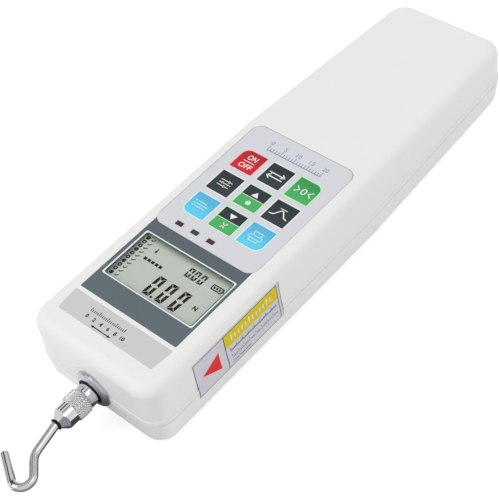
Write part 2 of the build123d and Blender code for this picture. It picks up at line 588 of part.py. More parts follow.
def housing_screws():
    """Pan-head screws driven from the back through both shells."""
    screws = []
    for x, y in HOUSING_SCREWS:
        head = upright(x, y, HOUSING_HEAD_SEAT - HOUSING_HEAD_HEIGHT, HOUSING_HEAD_SEAT, HOUSING_HEAD_DIAMETER)
        head = fillet(head.edges().group_by(Axis.Z)[0], HOUSING_HEAD_HEIGHT / 3)
        screws.append(head + upright(x, y, HOUSING_HEAD_SEAT, HOUSING_SCREW_END, HOUSING_SCREW_DIAMETER))
    return screws


def mounting_inserts():
    """Threaded bushes in the back, for a test stand."""
    return [upright(x, y, 0, INSERT_LENGTH, INSERT_DIAMETER) - upright(x, y, -1, INSERT_LENGTH + 1, INSERT_BORE)
            for x, y in INSERT_PLACES]


# Keypad

def key_outline(column, row, growth):
    """Outline of a key, grown on every side; the keypad's corner keys have a rounder outer corner."""
    half = KEY_SIZE / 2 + growth
    corners = [(-1, -1), (1, -1), (1, 1), (-1, 1)]
    outer = (column - 1, row - 1)
    radii = [(KEY_OUTER_CORNER_RADIUS if corner == outer else KEY_CORNER_RADIUS) + growth for corner in corners]
    points = [(half * x, half * y) for x, y in corners]
    centre = Pos((column - 1) * KEY_PITCH_X, KEY_CENTRE_Y + (row - 1) * KEY_PITCH_Y)
    return centre * make_face(FilletPolyline(*points, radius=radii, close=True))


def key_prism(column, row, growth, z_low, z_high):
    return extrude(Pos(0, 0, z_low) * key_outline(column, row, growth), z_high - z_low)


def key(column, row):
    """A key cap with the flange that keeps it under the film."""
    cap = key_prism(column, row, 0, SPACER_TOP, KEY_TOP)
    flange = key_prism(column, row, KEY_FLANGE, SPACER_TOP - KEY_FLANGE_THICKNESS, SPACER_TOP)
    return cap + flange


def each_key():
    return [(name, column, row) for row, names in enumerate(KEY_NAMES) for column, name in enumerate(names)]


def lamp_openings(z_low, z_high):
    """Openings for the lamp windows."""
    width, depth = LAMP_WINDOW
    return joined(block(x - width / 2 - SNUG, x + width / 2 + SNUG, LAMP_Y - depth / 2 - SNUG,
                        LAMP_Y + depth / 2 + SNUG, z_low, z_high) for x in LAMP_CENTRES_X)


def keypad_film():
    """Printed film with a window for each key and lamp; its near edge laps over the display surround."""
    film = plate(KEYPAD_HALF_WIDTH, KEYPAD_NEAR, KEYPAD_FAR, SPACER_TOP, FILM_TOP, KEYPAD_CORNER_RADIUS)
    for _, column, row in each_key():
        film = film - key_prism(column, row, SNUG, SPACER_TOP - 1, FILM_TOP + 1)
    return film - lamp_openings(SPACER_TOP - 1, FILM_TOP + 1)


def keypad_sheet(z_low, z_high):
    """A sheet under the film, from the display surround to the far edge of the keypad."""
    sheet = plate(KEYPAD_HALF_WIDTH, KEYPAD_NEAR, KEYPAD_FAR, z_low, z_high, KEYPAD_CORNER_RADIUS)
    keep = block(-HOUSING_WIDTH, HOUSING_WIDTH, BEZEL_FAR + SNUG, HOUSING_LENGTH, z_low - 1, z_high + 1)
    return (sheet & keep) - lamp_openings(z_low - 1, z_high + 1)


def keypad_spacer():
    """Spacer sheet with a window round each key flange."""
    sheet = keypad_sheet(CIRCUIT_TOP, SPACER_TOP)
    for _, column, row in each_key():
        sheet = sheet - key_prism(column, row, KEY_FLANGE + 2 * SNUG, CIRCUIT_TOP - 1, SPACER_TOP + 1)
    return sheet


def keypad_circuit():
    """Contact sheet with its tail, which runs down through the face to the main board."""
    tail = block(-TAIL_WIDTH / 2, TAIL_WIDTH / 2, TAIL_Y - CIRCUIT_THICKNESS / 2, TAIL_Y + CIRCUIT_THICKNESS / 2,
                 tail_connector_top() - TAIL_SLOT_DEPTH + SNUG, KEYPAD_FLOOR)
    return keypad_sheet(KEYPAD_FLOOR, CIRCUIT_TOP) + tail


def tail_connector_top():
    return MAIN_BOARD_TOP + TAIL_SOCKET_HEIGHT


def snap_domes():
    """A shallow domed disc under each key."""
    radius = DOME_DIAMETER / 2
    sphere_radius = (radius ** 2 + DOME_HEIGHT ** 2) / (2 * DOME_HEIGHT)
    domes = []
    for _, column, row in each_key():
        place = Pos((column - 1) * KEY_PITCH_X, KEY_CENTRE_Y + (row - 1) * KEY_PITCH_Y, CIRCUIT_TOP)
        profile = make_face([
            Line((0, 0), (radius, 0)),
            RadiusArc((radius, 0), (0, DOME_HEIGHT), -sphere_radius),
            Line((0, DOME_HEIGHT), (0, 0)),
        ])
        domes.append(place * revolve(Plane.XZ * profile, Axis.Z))
    return domes


def lamp_window(x):
    """Clear window of a lamp, flanged under the face and standing just above its chip."""
    width, depth = LAMP_WINDOW
    chip_top = MAIN_BOARD_TOP + LAMP_CHIP[2]
    stem = block(x - width / 2, x + width / 2, LAMP_Y - depth / 2, LAMP_Y + depth / 2, chip_top + SNUG, FILM_TOP)
    flange = block(x - width / 2 - LAMP_FLANGE, x + width / 2 + LAMP_FLANGE, LAMP_Y - depth / 2 - LAMP_FLANGE,
                   LAMP_Y + depth / 2 + LAMP_FLANGE, FACE_INSIDE - LAMP_FLANGE_THICKNESS, FACE_INSIDE)
    return stem + flange


# Display

def display_bezel():
    """Slate surround with the display window and a rebate for the lens underneath."""
    surround = plate(BEZEL_HALF_WIDTH, BEZEL_NEAR, BEZEL_FAR, KEYPAD_FLOOR, BEZEL_TOP, BEZEL_CORNER_RADIUS)
    window = plate(WINDOW_HALF_WIDTH, WINDOW_NEAR, WINDOW_FAR, KEYPAD_FLOOR - 1, BEZEL_TOP + 1,
                   WINDOW_CORNER_RADIUS)
    rebate = plate(WINDOW_HALF_WIDTH + LENS_LAP, WINDOW_NEAR - LENS_LAP, WINDOW_FAR + LENS_LAP,
                   KEYPAD_FLOOR - 1, KEYPAD_FLOOR + LENS_THICKNESS, WINDOW_CORNER_RADIUS)
    return surround - window - rebate


def display_lens():
    """Clear window, stepped so that its face fills the surround."""
    lap = LENS_LAP - SNUG
    base = plate(WINDOW_HALF_WIDTH + lap, WINDOW_NEAR - lap, WINDOW_FAR + lap, KEYPAD_FLOOR,
                 KEYPAD_FLOOR + LENS_THICKNESS, WINDOW_CORNER_RADIUS)
    face = plate(WINDOW_HALF_WIDTH - SNUG, WINDOW_NEAR + SNUG, WINDOW_FAR - SNUG,
                 KEYPAD_FLOOR + LENS_THICKNESS, BEZEL_TOP - LENS_SINK, WINDOW_CORNER_RADIUS - SNUG)
    return base + face


def lcd_panel():
    """Two glass sheets; the lower one stands out as a contact ledge."""
    upper = block(-LCD_HALF_WIDTH, LCD_HALF_WIDTH, LCD_NEAR, LCD_FAR, LCD_TOP - GLASS_THICKNESS, LCD_TOP)
    lower = block(-LCD_HALF_WIDTH, LCD_HALF_WIDTH, LCD_NEAR - LCD_LEDGE, LCD_FAR, lcd_bottom(),
                  LCD_TOP - GLASS_THICKNESS)
    return upper + lower


def lcd_bottom():
    return LCD_TOP - 2 * GLASS_THICKNESS


def lcd_frame():
    """Shallow tray between the board and the glass."""
    outer = block(-LCD_HALF_WIDTH, LCD_HALF_WIDTH, LCD_NEAR - LCD_LEDGE, LCD_FAR, MAIN_BOARD_TOP, lcd_bottom())
    inner = block(-LCD_HALF_WIDTH + FRAME_RAIL, LCD_HALF_WIDTH - FRAME_RAIL, LCD_NEAR - LCD_LEDGE + FRAME_RAIL,
                  LCD_FAR - FRAME_RAIL, MAIN_BOARD_TOP + FRAME_FLOOR, lcd_bottom() + 1)
    return outer - inner


# Boards

def main_board():
    board = plate(MAIN_BOARD_HALF_WIDTH, MAIN_BOARD_NEAR, MAIN_BOARD_FAR, MAIN_BOARD_BOTTOM, MAIN_BOARD_TOP,
                  BOARD_CORNER_RADIUS)
    for x, y in MAIN_SCREWS:
        board = board - upright(x, y, MAIN_BOARD_BOTTOM - 1, MAIN_BOARD_TOP + 1, SMALL_SCREW_DIAMETER + SCREW_PLAY)
    return board


def small_screw(x, y, seat, direction):
    """A small pan-head screw whose head bears at seat; direction is +1 when it points up."""
    head_end = seat - direction * SMALL_HEAD_HEIGHT
    tip = seat + direction * SMALL_SCREW_LENGTH
    head = upright(x, y, min(seat, head_end), max(seat, head_end), SMALL_HEAD_DIAMETER)
    return head + upright(x, y, min(seat, tip), max(seat, tip), SMALL_SCREW_DIAMETER)


def board_components():
    """Chips, capacitors, sounder, lamp chips and connectors of the main board."""
    pieces = []
    for x in LAMP_CENTRES_X:
        width, depth, height = LAMP_CHIP
        pieces.append(block(x - width / 2, x + width / 2, LAMP_Y - depth / 2, LAMP_Y + depth / 2,
                            MAIN_BOARD_TOP, MAIN_BOARD_TOP + height))
    half = TAIL_WIDTH / 2
    socket = block(-half - TAIL_SOCKET_WALL, half + TAIL_SOCKET_WALL, TAIL_Y - TAIL_SOCKET_HALF_DEPTH,
                   TAIL_Y + TAIL_SOCKET_HALF_DEPTH, MAIN_BOARD_TOP, tail_connector_top())
    slot_gap = CIRCUIT_THICKNESS / 2 + SNUG
    slot = block(-half - SNUG, half + SNUG, TAIL_Y - slot_gap, TAIL_Y + slot_gap,
                 tail_connector_top() - TAIL_SLOT_DEPTH, tail_connector_top() + 1)
    pieces.append(socket - slot)
    for x, inset, width, depth, height in BOARD_CHIPS:
        y = MAIN_BOARD_FAR - inset
        pieces.append(block(x - width / 2, x + width / 2, y - depth / 2, y + depth / 2,
                            MAIN_BOARD_BOTTOM - height, MAIN_BOARD_BOTTOM))
    for x, inset, diameter, height in BOARD_CANS:
        pieces.append(upright(x, MAIN_BOARD_FAR - inset, MAIN_BOARD_BOTTOM - height, MAIN_BOARD_BOTTOM, diameter))
    return pieces


def end_board():
    board = block(-END_BOARD_HALF_WIDTH, END_BOARD_HALF_WIDTH, END_BOARD_NEAR, END_BOARD_FAR, END_BOARD_BOTTOM,
                  END_BOARD_TOP)
    for x, y in END_SCREWS:
        board = board - upright(x, y, END_BOARD_BOTTOM - 1, END_BOARD_TOP + 1, SMALL_SCREW_DIAMETER + SCREW_PLAY)
    return board


def charge_socket():
    """Barrel socket with its centre pin, on the end board."""
    width, depth, height = CHARGE_BODY
    mouth = FAR_END - WALL - SOCKET_SETBACK
    x = CHARGE_SOCKET_X
    body = block(x - width / 2, x + width / 2, mouth - depth, mouth, END_BOARD_TOP, END_BOARD_TOP + height)
    bore = lying(x, charge_axis(), mouth - CHARGE_DEPTH, mouth + 1, CHARGE_BORE)
    pin = lying(x, charge_axis(), mouth - CHARGE_DEPTH - 1, mouth - CHARGE_PIN_SETBACK, CHARGE_PIN)
    return body - bore + pin


def data_socket():
    """D-shaped nine-way socket with its flange and two screw pillars, on the end board."""
    flange_face = FAR_END - WALL - SOCKET_SETBACK
    x, z = DATA_SOCKET_X, data_axis()
    width, height = DATA_FLANGE
    shell_width, shell_height = DATA_SHELL
    back = flange_face - DATA_FLANGE_THICKNESS
    flange = block(x - width / 2, x + width / 2, back, flange_face, z - height / 2, z + height / 2)
    body = block(x - shell_width / 2 - DATA_BODY_MARGIN, x + shell_width / 2 + DATA_BODY_MARGIN,
                 back - DATA_BODY_DEPTH, back, END_BOARD_TOP, z + shell_height / 2 + DATA_BODY_MARGIN)
    half, narrow = shell_width / 2, shell_width / 2 - DATA_SHELL_SLANT
    d_points = [(-narrow, -shell_height / 2), (narrow, -shell_height / 2), (half, shell_height / 2),
                (-half, shell_height / 2)]
    d_face = make_face(FilletPolyline(*d_points, radius=DATA_SHELL_RADIUS, close=True))
    shell = extrude(Plane((x, flange_face, z), x_dir=(1, 0, 0), z_dir=(0, -1, 0)) * d_face, -DATA_SHELL_REACH)
    lower_row = [(x + step * DATA_PIN_PITCH, z - DATA_ROW_HEIGHT) for step in (-1.5, -0.5, 0.5, 1.5)]
    upper_row = [(x + step * DATA_PIN_PITCH, z + DATA_ROW_HEIGHT) for step in (-2, -1, 0, 1, 2)]
    pin_holes = [lying(pin_x, pin_z, flange_face, flange_face + DATA_SHELL_REACH + 1, DATA_PIN_DIAMETER)
                 for pin_x, pin_z in lower_row + upper_row]
    nut_places = [x + side * DATA_NUT_SPACING / 2 for side in (-1, 1)]
    pillars = [lying(nut_x, z, flange_face, FAR_END - DATA_NUT_SETBACK, DATA_NUT_DIAMETER)
               - lying(nut_x, z, flange_face + DATA_FLANGE_THICKNESS / 2, FAR_END, DATA_NUT_BORE)
               for nut_x in nut_places]
    shape = joined([flange, body, shell] + pillars)
    for hole in pin_holes:
        shape = shape - hole
    return shape


# Spindle, coupling and hook

def nose_bushing():
    """Flanged sleeve with a domed nose round the spindle; a close bore guides the spindle inside."""
    mouth = BUSHING_MOUTH_DIAMETER / 2
    rim = BUSHING_FLANGE_DIAMETER / 2
    guide = SPINDLE_DIAMETER / 2 + FIT
    body = BUSHING_BODY_DIAMETER / 2
    nose = ThreePointArc((mouth, BUSHING_NOSE), ((mouth + rim) / 2, BUSHING_NOSE + BUSHING_NOSE_CROWN),
                         (rim - BUSHING_EDGE, BUSHING_RIM))
    rest = Polyline((rim - BUSHING_EDGE, BUSHING_RIM), (rim, BUSHING_RIM + BUSHING_EDGE), (rim, BUSHING_SEAT),
                    (body, BUSHING_SEAT),
                    (body, BUSHING_END), (guide, BUSHING_END), (guide, BUSHING_MOUTH_END),
                    (mouth, BUSHING_MOUTH_END), (mouth, BUSHING_NOSE))
    return Pos(0, 0, SPINDLE_HEIGHT) * revolve(make_face([nose, *rest.edges()]), Axis.Y)


def bushing_nut():
    """Thin hexagon nut that holds the bushing from inside."""
    plane = Plane((0, BUSHING_NUT_SEAT, SPINDLE_HEIGHT), x_dir=(1, 0, 0), z_dir=(0, 1, 0))
    hexagon = RegularPolygon(BUSHING_NUT_ACROSS_FLATS / 2, 6, major_radius=False)
    bore = Circle(BUSHING_BODY_DIAMETER / 2 + FIT)
    return extrude(plane * (hexagon - bore), BUSHING_NUT_THICKNESS)


def measuring_spindle():
    """Polished spindle: near stud, guided shaft, stop collar and the stud in the load cell."""
    shaft = SPINDLE_DIAMETER / 2
    stud = SPINDLE_STUD_DIAMETER / 2
    collar = STOP_COLLAR_DIAMETER / 2
    collar_near = BUSHING_END + STOP_GAP
    collar_far = collar_near + STOP_COLLAR_THICKNESS
    return turned([
        (STUD_END, 0), (STUD_END, stud), (SPINDLE_TIP, stud), (SPINDLE_TIP, shaft - SPINDLE_EDGE),
        (SPINDLE_TIP + SPINDLE_EDGE, shaft), (collar_near, shaft), (collar_near, collar), (collar_far, collar),
        (collar_far, shaft), (SPINDLE_SHOULDER, shaft), (SPINDLE_SHOULDER, stud),
        (SPINDLE_SHOULDER + CELL_STUD_LENGTH, stud), (SPINDLE_SHOULDER + CELL_STUD_LENGTH, 0),
    ])


def knurled_coupling():
    """Sleeve that screws onto the spindle and takes the hook nut in its mouth."""
    outer = COUPLING_DIAMETER / 2
    thread = SPINDLE_STUD_DIAMETER / 2 + FIT
    cavity = COUPLING_CAVITY_DIAMETER / 2
    mouth = COUPLING_COUNTERBORE_DIAMETER / 2
    thread_end = STUD_END - 0.2
    mouth_start = COUPLING_END + COUPLING_COUNTERBORE_DEPTH
    return turned([
        (SPINDLE_TIP, thread), (SPINDLE_TIP, outer - COUPLING_CHAMFER), (SPINDLE_TIP - COUPLING_CHAMFER, outer),
        (COUPLING_END + COUPLING_MOUTH_CHAMFER, outer), (COUPLING_END, outer - COUPLING_MOUTH_CHAMFER),
        (COUPLING_END, mouth), (mouth_start, mouth), (mouth_start, cavity), (thread_end, cavity),
        (thread_end, thread),
    ])


def hook_nut():
    """Round nut whose nose is cut by six sloping flats; its collar screws into the coupling."""
    collar = COUPLING_COUNTERBORE_DIAMETER / 2 - FIT
    band = NUT_DIAMETER / 2
    bore = ROD_DIAMETER / 2 + FIT
    collar_end = COUPLING_END + COUPLING_COUNTERBORE_DEPTH
    body = turned([
        (collar_end, bore), (collar_end, collar), (COUPLING_END, collar), (COUPLING_END, band),
        (NUT_NOSE_END, band), (NUT_NOSE_END, bore),
    ])
    nose = NUT_NOSE_ACROSS_FLATS / 2
    sections = [Plane((0, y, SPINDLE_HEIGHT), x_dir=(1, 0, 0), z_dir=(0, -1, 0))
                * RegularPolygon(reach, 6, major_radius=False)
                for y, reach in ((COUPLING_END, nose + NUT_FLAT_RISE), (NUT_NOSE_END, nose))]
    round_part = lying(0, SPINDLE_HEIGHT, COUPLING_END, collar_end + 1, COUPLING_DIAMETER + 1)
    return body & (loft(sections, ruled=True) + round_part)


def rod_path(start, heading, moves):
    """A wire in the hook's plane from straight runs and bends: ("run", length) or ("bend", turn, radius)."""
    edges = []
    point = Vector(*start)
    for move in moves:
        direction = Vector(math.cos(math.radians(heading)), math.sin(math.radians(heading)))
        if move[0] == "run":
            edge = Line(point, point + direction * move[1])
        else:
            edge = JernArc(point, direction, move[2], move[1])
            heading += move[1]
        edges.append(edge)
        point = edge @ 1
    return Wire(edges)


def hook():
    """Bent round rod with an upset head that swivels inside the coupling."""
    head_seat = COUPLING_END + COUPLING_COUNTERBORE_DEPTH + 2 * SNUG
    path = rod_path((0, head_seat), -90, [
        ("run", HOOK_SHANK_LENGTH),
        ("bend", HOOK_FIRST_BEND[0], HOOK_FIRST_BEND[1]),
        ("run", HOOK_LEG_LENGTH),
        ("bend", HOOK_SECOND_BEND[0], HOOK_SECOND_BEND[1]),
        ("run", HOOK_OUTER_LEG_LENGTH),
        ("bend", -HOOK_BOWL[0], HOOK_BOWL[1]),
        ("run", HOOK_TIP_LENGTH),
    ])
    path = Pos(0, 0, SPINDLE_HEIGHT) * path
    section = Plane(path @ 0, z_dir=path % 0) * Circle(ROD_DIAMETER / 2)
    rod = sweep(section, path=path)
    tip = rod.faces().sort_by_distance(path @ 1)[0]
    rod = chamfer(tip.edges(), ROD_TIP_EDGE)
    head = lying(0, SPINDLE_HEIGHT, head_seat, head_seat + HOOK_HEAD_THICKNESS, HOOK_HEAD_DIAMETER)
    return rod + head


def hook_ring():
    """Soft ring that closes the nut's mouth round the rod."""
    inner = ROD_DIAMETER / 2 + SNUG
    place = Pos(0, NUT_NOSE_END - RING_THICKNESS / 2, SPINDLE_HEIGHT) * Rot(90, 0, 0)
    return place * Torus(inner + RING_THICKNESS / 2, RING_THICKNESS / 2)


# Load cell

def load_cell():
    """S-shaped beam: two slots from opposite sides and a pair of joined round windows."""
    bottom, top = CELL_BOTTOM, CELL_TOP
    beam = block(-CELL_HALF_WIDTH, CELL_HALF_WIDTH, CELL_NEAR, CELL_FAR, bottom, top)
    beam = chamfer(beam.edges().filter_by(Axis.Z), CELL_EDGE)
    near_slot = CELL_NEAR + CELL_SLOT_INSET
    far_slot = CELL_FAR - CELL_SLOT_INSET
    middle = (CELL_NEAR + CELL_FAR) / 2
    half = CELL_HOLE_SPACING / 2
    cuts = [
        block(-CELL_SLOT_END, CELL_HALF_WIDTH + 1, near_slot, near_slot + CELL_SLOT, bottom - 1, top + 1),
        block(-CELL_HALF_WIDTH - 1, CELL_SLOT_END, far_slot - CELL_SLOT, far_slot, bottom - 1, top + 1),
        block(-half, half, middle - CELL_SLOT / 2, middle + CELL_SLOT / 2, bottom - 1, top + 1),
        upright(-half, middle, bottom - 1, top + 1, CELL_HOLE_DIAMETER),
        upright(half, middle, bottom - 1, top + 1, CELL_HOLE_DIAMETER),
        lying(0, SPINDLE_HEIGHT, CELL_NEAR - 1, near_slot + 1, SPINDLE_STUD_DIAMETER + 2 * FIT),
        lying(0, SPINDLE_HEIGHT, far_slot - 1, CELL_FAR + 1, CELL_BOLT_DIAMETER + 2 * FIT),
    ]
    for cut in cuts:
        beam = beam - cut
    return beam


def load_cell_bracket():
    """Angle with two gussets that carries the far end of the cell."""
    half = BRACKET_HALF_WIDTH
    foot_top = BRACKET_SEAT + BRACKET_FOOT_THICKNESS
    foot_far = BRACKET_FAR + BRACKET_FOOT_LENGTH
    wall = block(-half, half, CELL_FAR, BRACKET_FAR, BRACKET_SEAT, BRACKET_TOP)
    foot = block(-half, half, BRACKET_FAR, foot_far, BRACKET_SEAT, foot_top)
    rise = make_face(Polyline((BRACKET_FAR, foot_top), (foot_far - BRACKET_GUSSET_STEP, foot_top),
                              (BRACKET_FAR, BRACKET_TOP - BRACKET_GUSSET_STEP), close=True))
    gussets = [extrude(Plane.YZ.offset(x) * rise, BRACKET_GUSSET) for x in (-half, half - BRACKET_GUSSET)]
    bracket = joined([wall, foot] + gussets)
    bracket = bracket - lying(0, SPINDLE_HEIGHT, CELL_FAR - 1, BRACKET_FAR + 1, CELL_BOLT_DIAMETER + SCREW_PLAY)
    for x, y in BRACKET_SCREWS:
        bracket = bracket - upright(x, y, BRACKET_SEAT - 1, foot_top + 1, BRACKET_SCREW_DIAMETER + SCREW_PLAY)
    return bracket


def load_cell_screws():
    """The bolt that holds the cell and the two screws of the bracket's foot."""
    head_end = BRACKET_FAR + CELL_BOLT_HEAD_HEIGHT
    head = lying(0, SPINDLE_HEIGHT, BRACKET_FAR, head_end, CELL_BOLT_HEAD_DIAMETER)
    shank = lying(0, SPINDLE_HEIGHT, CELL_FAR - CELL_BOLT_REACH, BRACKET_FAR, CELL_BOLT_DIAMETER)
    socket_plane = Plane((0, head_end, SPINDLE_HEIGHT), x_dir=(1, 0, 0), z_dir=(0, -1, 0))
    key_socket = extrude(socket_plane * RegularPolygon(CELL_BOLT_SOCKET / 2, 6, major_radius=False),
                         CELL_BOLT_HEAD_HEIGHT / 2)
    screws = [head + shank - key_socket]
    foot_top = BRACKET_SEAT + BRACKET_FOOT_THICKNESS
    for x, y in BRACKET_SCREWS:
        screw = upright(x, y, foot_top, foot_top + BRACKET_SCREW_HEAD_HEIGHT, BRACKET_SCREW_HEAD_DIAMETER)
        screws.append(screw + upright(x, y, BRACKET_SEAT - BRACKET_SCREW_REACH, foot_top, BRACKET_SCREW_DIAMETER))
    return screws


# Battery

def battery_places():
    return [(index - (BATTERY_COUNT - 1) / 2) * BATTERY_PITCH for index in range(BATTERY_COUNT)]


def battery_cells():
    """Round cells side by side, terminals towards the far end."""
    cells = []
    for x in battery_places():
        can = lying(x, BATTERY_AXIS, BATTERY_NEAR, BATTERY_FAR, BATTERY_DIAMETER)
        can = fillet(can.edges().filter_by(GeomType.CIRCLE), BATTERY_EDGE_RADIUS)
        cells.append(can + lying(x, BATTERY_AXIS, BATTERY_FAR, BATTERY_FAR + TERMINAL_HEIGHT, TERMINAL_DIAMETER))
    return cells


def battery_tray():
    """Open tray with a round seat for each cell."""
    top = TRAY_SEAT + TRAY_HEIGHT
    tray = block(-TRAY_HALF_WIDTH, TRAY_HALF_WIDTH, TRAY_NEAR, TRAY_FAR, TRAY_SEAT, top)
    inside = TRAY_HALF_WIDTH - TRAY_WALL
    tray = tray - block(-inside, inside, TRAY_NEAR + TRAY_WALL, TRAY_FAR - TRAY_WALL, BATTERY_AXIS, top + 1)
    for x in battery_places():
        tray = tray - lying(x, BATTERY_AXIS, TRAY_NEAR + TRAY_WALL, TRAY_FAR - TRAY_WALL,
                            BATTERY_DIAMETER + 2 * SNUG)
    return tray


def battery_contacts():
    """A plate at each end of each cell; the near ones carry a pressed spring cone."""
    near = TRAY_NEAR + TRAY_WALL
    far = TRAY_FAR - TRAY_WALL
    reach = CONTACT_HALF_WIDTH
    low, high = BATTERY_AXIS - reach, BATTERY_AXIS + reach
    contacts = []
    for x in battery_places():
        cone_length = BATTERY_NEAR - near - CONTACT_THICKNESS
        cone = Pos(x, near + CONTACT_THICKNESS + cone_length / 2, BATTERY_AXIS) * Rot(90, 0, 0)
        spring = cone * Cone(SPRING_TIP_RADIUS, SPRING_BASE_RADIUS, cone_length)
        contacts.append(block(x - reach, x + reach, near, near + CONTACT_THICKNESS, low, high) + spring)
        contacts.append(block(x - reach, x + reach, far - CONTACT_THICKNESS, far, low, high))
    return contacts


def battery_strap():
    """Band over the cells, hooked down both sides of the tray."""
    middle = (BATTERY_NEAR + BATTERY_FAR) / 2
    low, high = middle - STRAP_WIDTH / 2, middle + STRAP_WIDTH / 2
    inside = TRAY_HALF_WIDTH + SNUG
    outside = inside + STRAP_THICKNESS
    under = BATTERY_AXIS + BATTERY_DIAMETER / 2 + SNUG
    bottom = TRAY_SEAT + STRAP_HEM_HEIGHT
    band = block(-outside, outside, low, high, bottom, under + STRAP_THICKNESS)
    band = fillet(band.edges().filter_by(Axis.Y).group_by(Axis.Z)[-1], STRAP_EDGE_RADIUS)
    return band - block(-inside, inside, low - 1, high + 1, bottom - 1, under)


def build():
    """Write every node."""
    os.makedirs("parts", exist_ok=True)
    save("front_housing", front_housing())
    save("rear_housing", rear_housing())
    save("housing_screws", *housing_screws())
    save("mounting_inserts", *mounting_inserts())
    save("keypad_film", keypad_film())
    save("keypad_spacer", keypad_spacer())
    save("keypad_circuit", keypad_circuit())
    save("snap_domes", *snap_domes())
    for name, column, row in each_key():
        save(name, key(column, row))
    save("lamp_windows_red", lamp_window(LAMP_CENTRES_X[0]), lamp_window(LAMP_CENTRES_X[2]))
    save("lamp_window_green", lamp_window(LAMP_CENTRES_X[1]))
    save("display_bezel", display_bezel())
    save("display_lens", display_lens())
    save("lcd_panel", lcd_panel())
    save("lcd_frame", lcd_frame())
    save("main_board", main_board())
    save("main_board_screws", *[small_screw(x, y, MAIN_BOARD_BOTTOM, 1) for x, y in MAIN_SCREWS])
    save("board_components", *board_components())
    save("load_cell", load_cell())
    save("load_cell_bracket", load_cell_bracket())
    save("load_cell_screws", *load_cell_screws())
    save("nose_bushing", nose_bushing())
    save("bushing_nut", bushing_nut())
    save("measuring_spindle", measuring_spindle())
    save("knurled_coupling", knurled_coupling())
    save("hook_nut", hook_nut())
    save("hook_ring", hook_ring())
    save("hook", hook())
    save("battery_cells", *battery_cells())
    save("battery_tray", battery_tray())
    save("battery_contacts", *battery_contacts())
    save("battery_strap", battery_strap())
    save("end_board", end_board())
    save("end_board_screws", *[small_screw(x, y, END_BOARD_TOP, -1) for x, y in END_SCREWS])
    save("charge_socket", charge_socket())
    save("data_socket", data_socket())


build()
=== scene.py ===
"""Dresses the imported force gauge: finishes for every CAD node, printed marks, labels, the knurl and the studio.

Sizes are millimetres in the frame of the model: +Z out of the display face, +Y away from the hook, +X to the right.
"""

import logging
import math
from dataclasses import dataclass, field
from enum import Enum
from typing import Callable, Sequence

import bpy
import numpy as np
from mathutils import Matrix, Vector


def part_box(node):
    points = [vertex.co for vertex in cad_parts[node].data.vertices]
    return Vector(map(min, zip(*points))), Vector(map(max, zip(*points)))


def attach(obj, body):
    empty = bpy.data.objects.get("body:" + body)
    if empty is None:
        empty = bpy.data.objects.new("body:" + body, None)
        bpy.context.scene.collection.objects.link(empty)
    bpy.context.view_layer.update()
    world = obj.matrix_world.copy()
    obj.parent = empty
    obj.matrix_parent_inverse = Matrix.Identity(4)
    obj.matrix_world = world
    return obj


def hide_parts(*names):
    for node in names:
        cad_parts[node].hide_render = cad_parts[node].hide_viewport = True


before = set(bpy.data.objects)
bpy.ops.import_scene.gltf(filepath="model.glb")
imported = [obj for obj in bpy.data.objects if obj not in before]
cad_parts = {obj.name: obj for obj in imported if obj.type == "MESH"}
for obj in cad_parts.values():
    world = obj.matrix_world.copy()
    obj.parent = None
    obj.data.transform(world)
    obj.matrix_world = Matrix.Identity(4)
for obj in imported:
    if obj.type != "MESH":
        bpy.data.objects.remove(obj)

MM = 0.001
PRINT_LIFT = 0.012          # how far a print stands above what carries it
AXIS_HEIGHT = 16.0          # of the spindle
GRAIN_SPAN = (0.3, 0.7)     # part of a noise field that carries the whole change
GRAIN_DETAIL = 3.0
GRAIN_MIX = 0.55
SMOOTHEST = 0.02            # lowest roughness that the grain may bring
CORNER_STEPS = 8
DOT_POINTS = 24
MITRE_LIMIT = 0.4
FONT_STEPS = 3
log = logging.getLogger("force_gauge")

Points = np.ndarray
Place = tuple[float, float]
Path = tuple[Place, ...]
Surface = Callable[[Points], Points]
Tree = bpy.types.NodeTree
Node = bpy.types.Node
Socket = bpy.types.NodeSocket


# ---------------------------------------------------------------- colours and shader nodes

def linear(code: str) -> tuple[float, float, float, float]:
    """Turns an sRGB hex colour into the linear values that shaders take.

    Args:
        code: six hex digits after a hash sign.

    Returns:
        Red, green, blue and an alpha of 1.
    """
    srgb = np.array([int(code[i:i + 2], 16) for i in (1, 3, 5)]) / 255
    value = np.where(srgb <= 0.04045, srgb / 12.92, ((srgb + 0.055) / 1.055) ** 2.4)
    return (*value.tolist(), 1.0)


def add_node(tree: Tree, kind: str, inputs: dict | None = None, stops: Sequence[tuple[float, str]] = (),
             **settings: object) -> Node:
    """Adds one node to a shader tree.

    Args:
        tree: the tree that gets the node.
        kind: the node's type name.
        inputs: socket name or number, to a value or to the output socket that feeds it.
        stops: places and colours of a colour ramp, two or more.
        settings: properties of the node itself.

    Returns:
        The new node.
    """
    node = tree.nodes.new(kind)
    for name, value in settings.items():
        setattr(node, name, value)
    for index, (place, code) in enumerate(stops):
        stop = node.color_ramp.elements[index] if index < 2 else node.color_ramp.elements.new(place)
        stop.position, stop.color = place, linear(code)
    for socket, value in (inputs or {}).items():
        if isinstance(value, Socket):
            tree.links.new(value, node.inputs[socket])
        else:
            node.inputs[socket].default_value = value
    return node


def empty_tree(owner: bpy.types.Material | bpy.types.World) -> Tree:
    """Gives a material or a world an empty tree.

    Args:
        owner: the material or world.

    Returns:
        Its tree.
    """
    owner.use_nodes = True
    owner.node_tree.nodes.clear()
    return owner.node_tree


def per_metre(size_mm: float) -> float:
    """Pattern scale, in repeats a metre, for a feature of that size."""
    return 1.0 / (size_mm * MM)


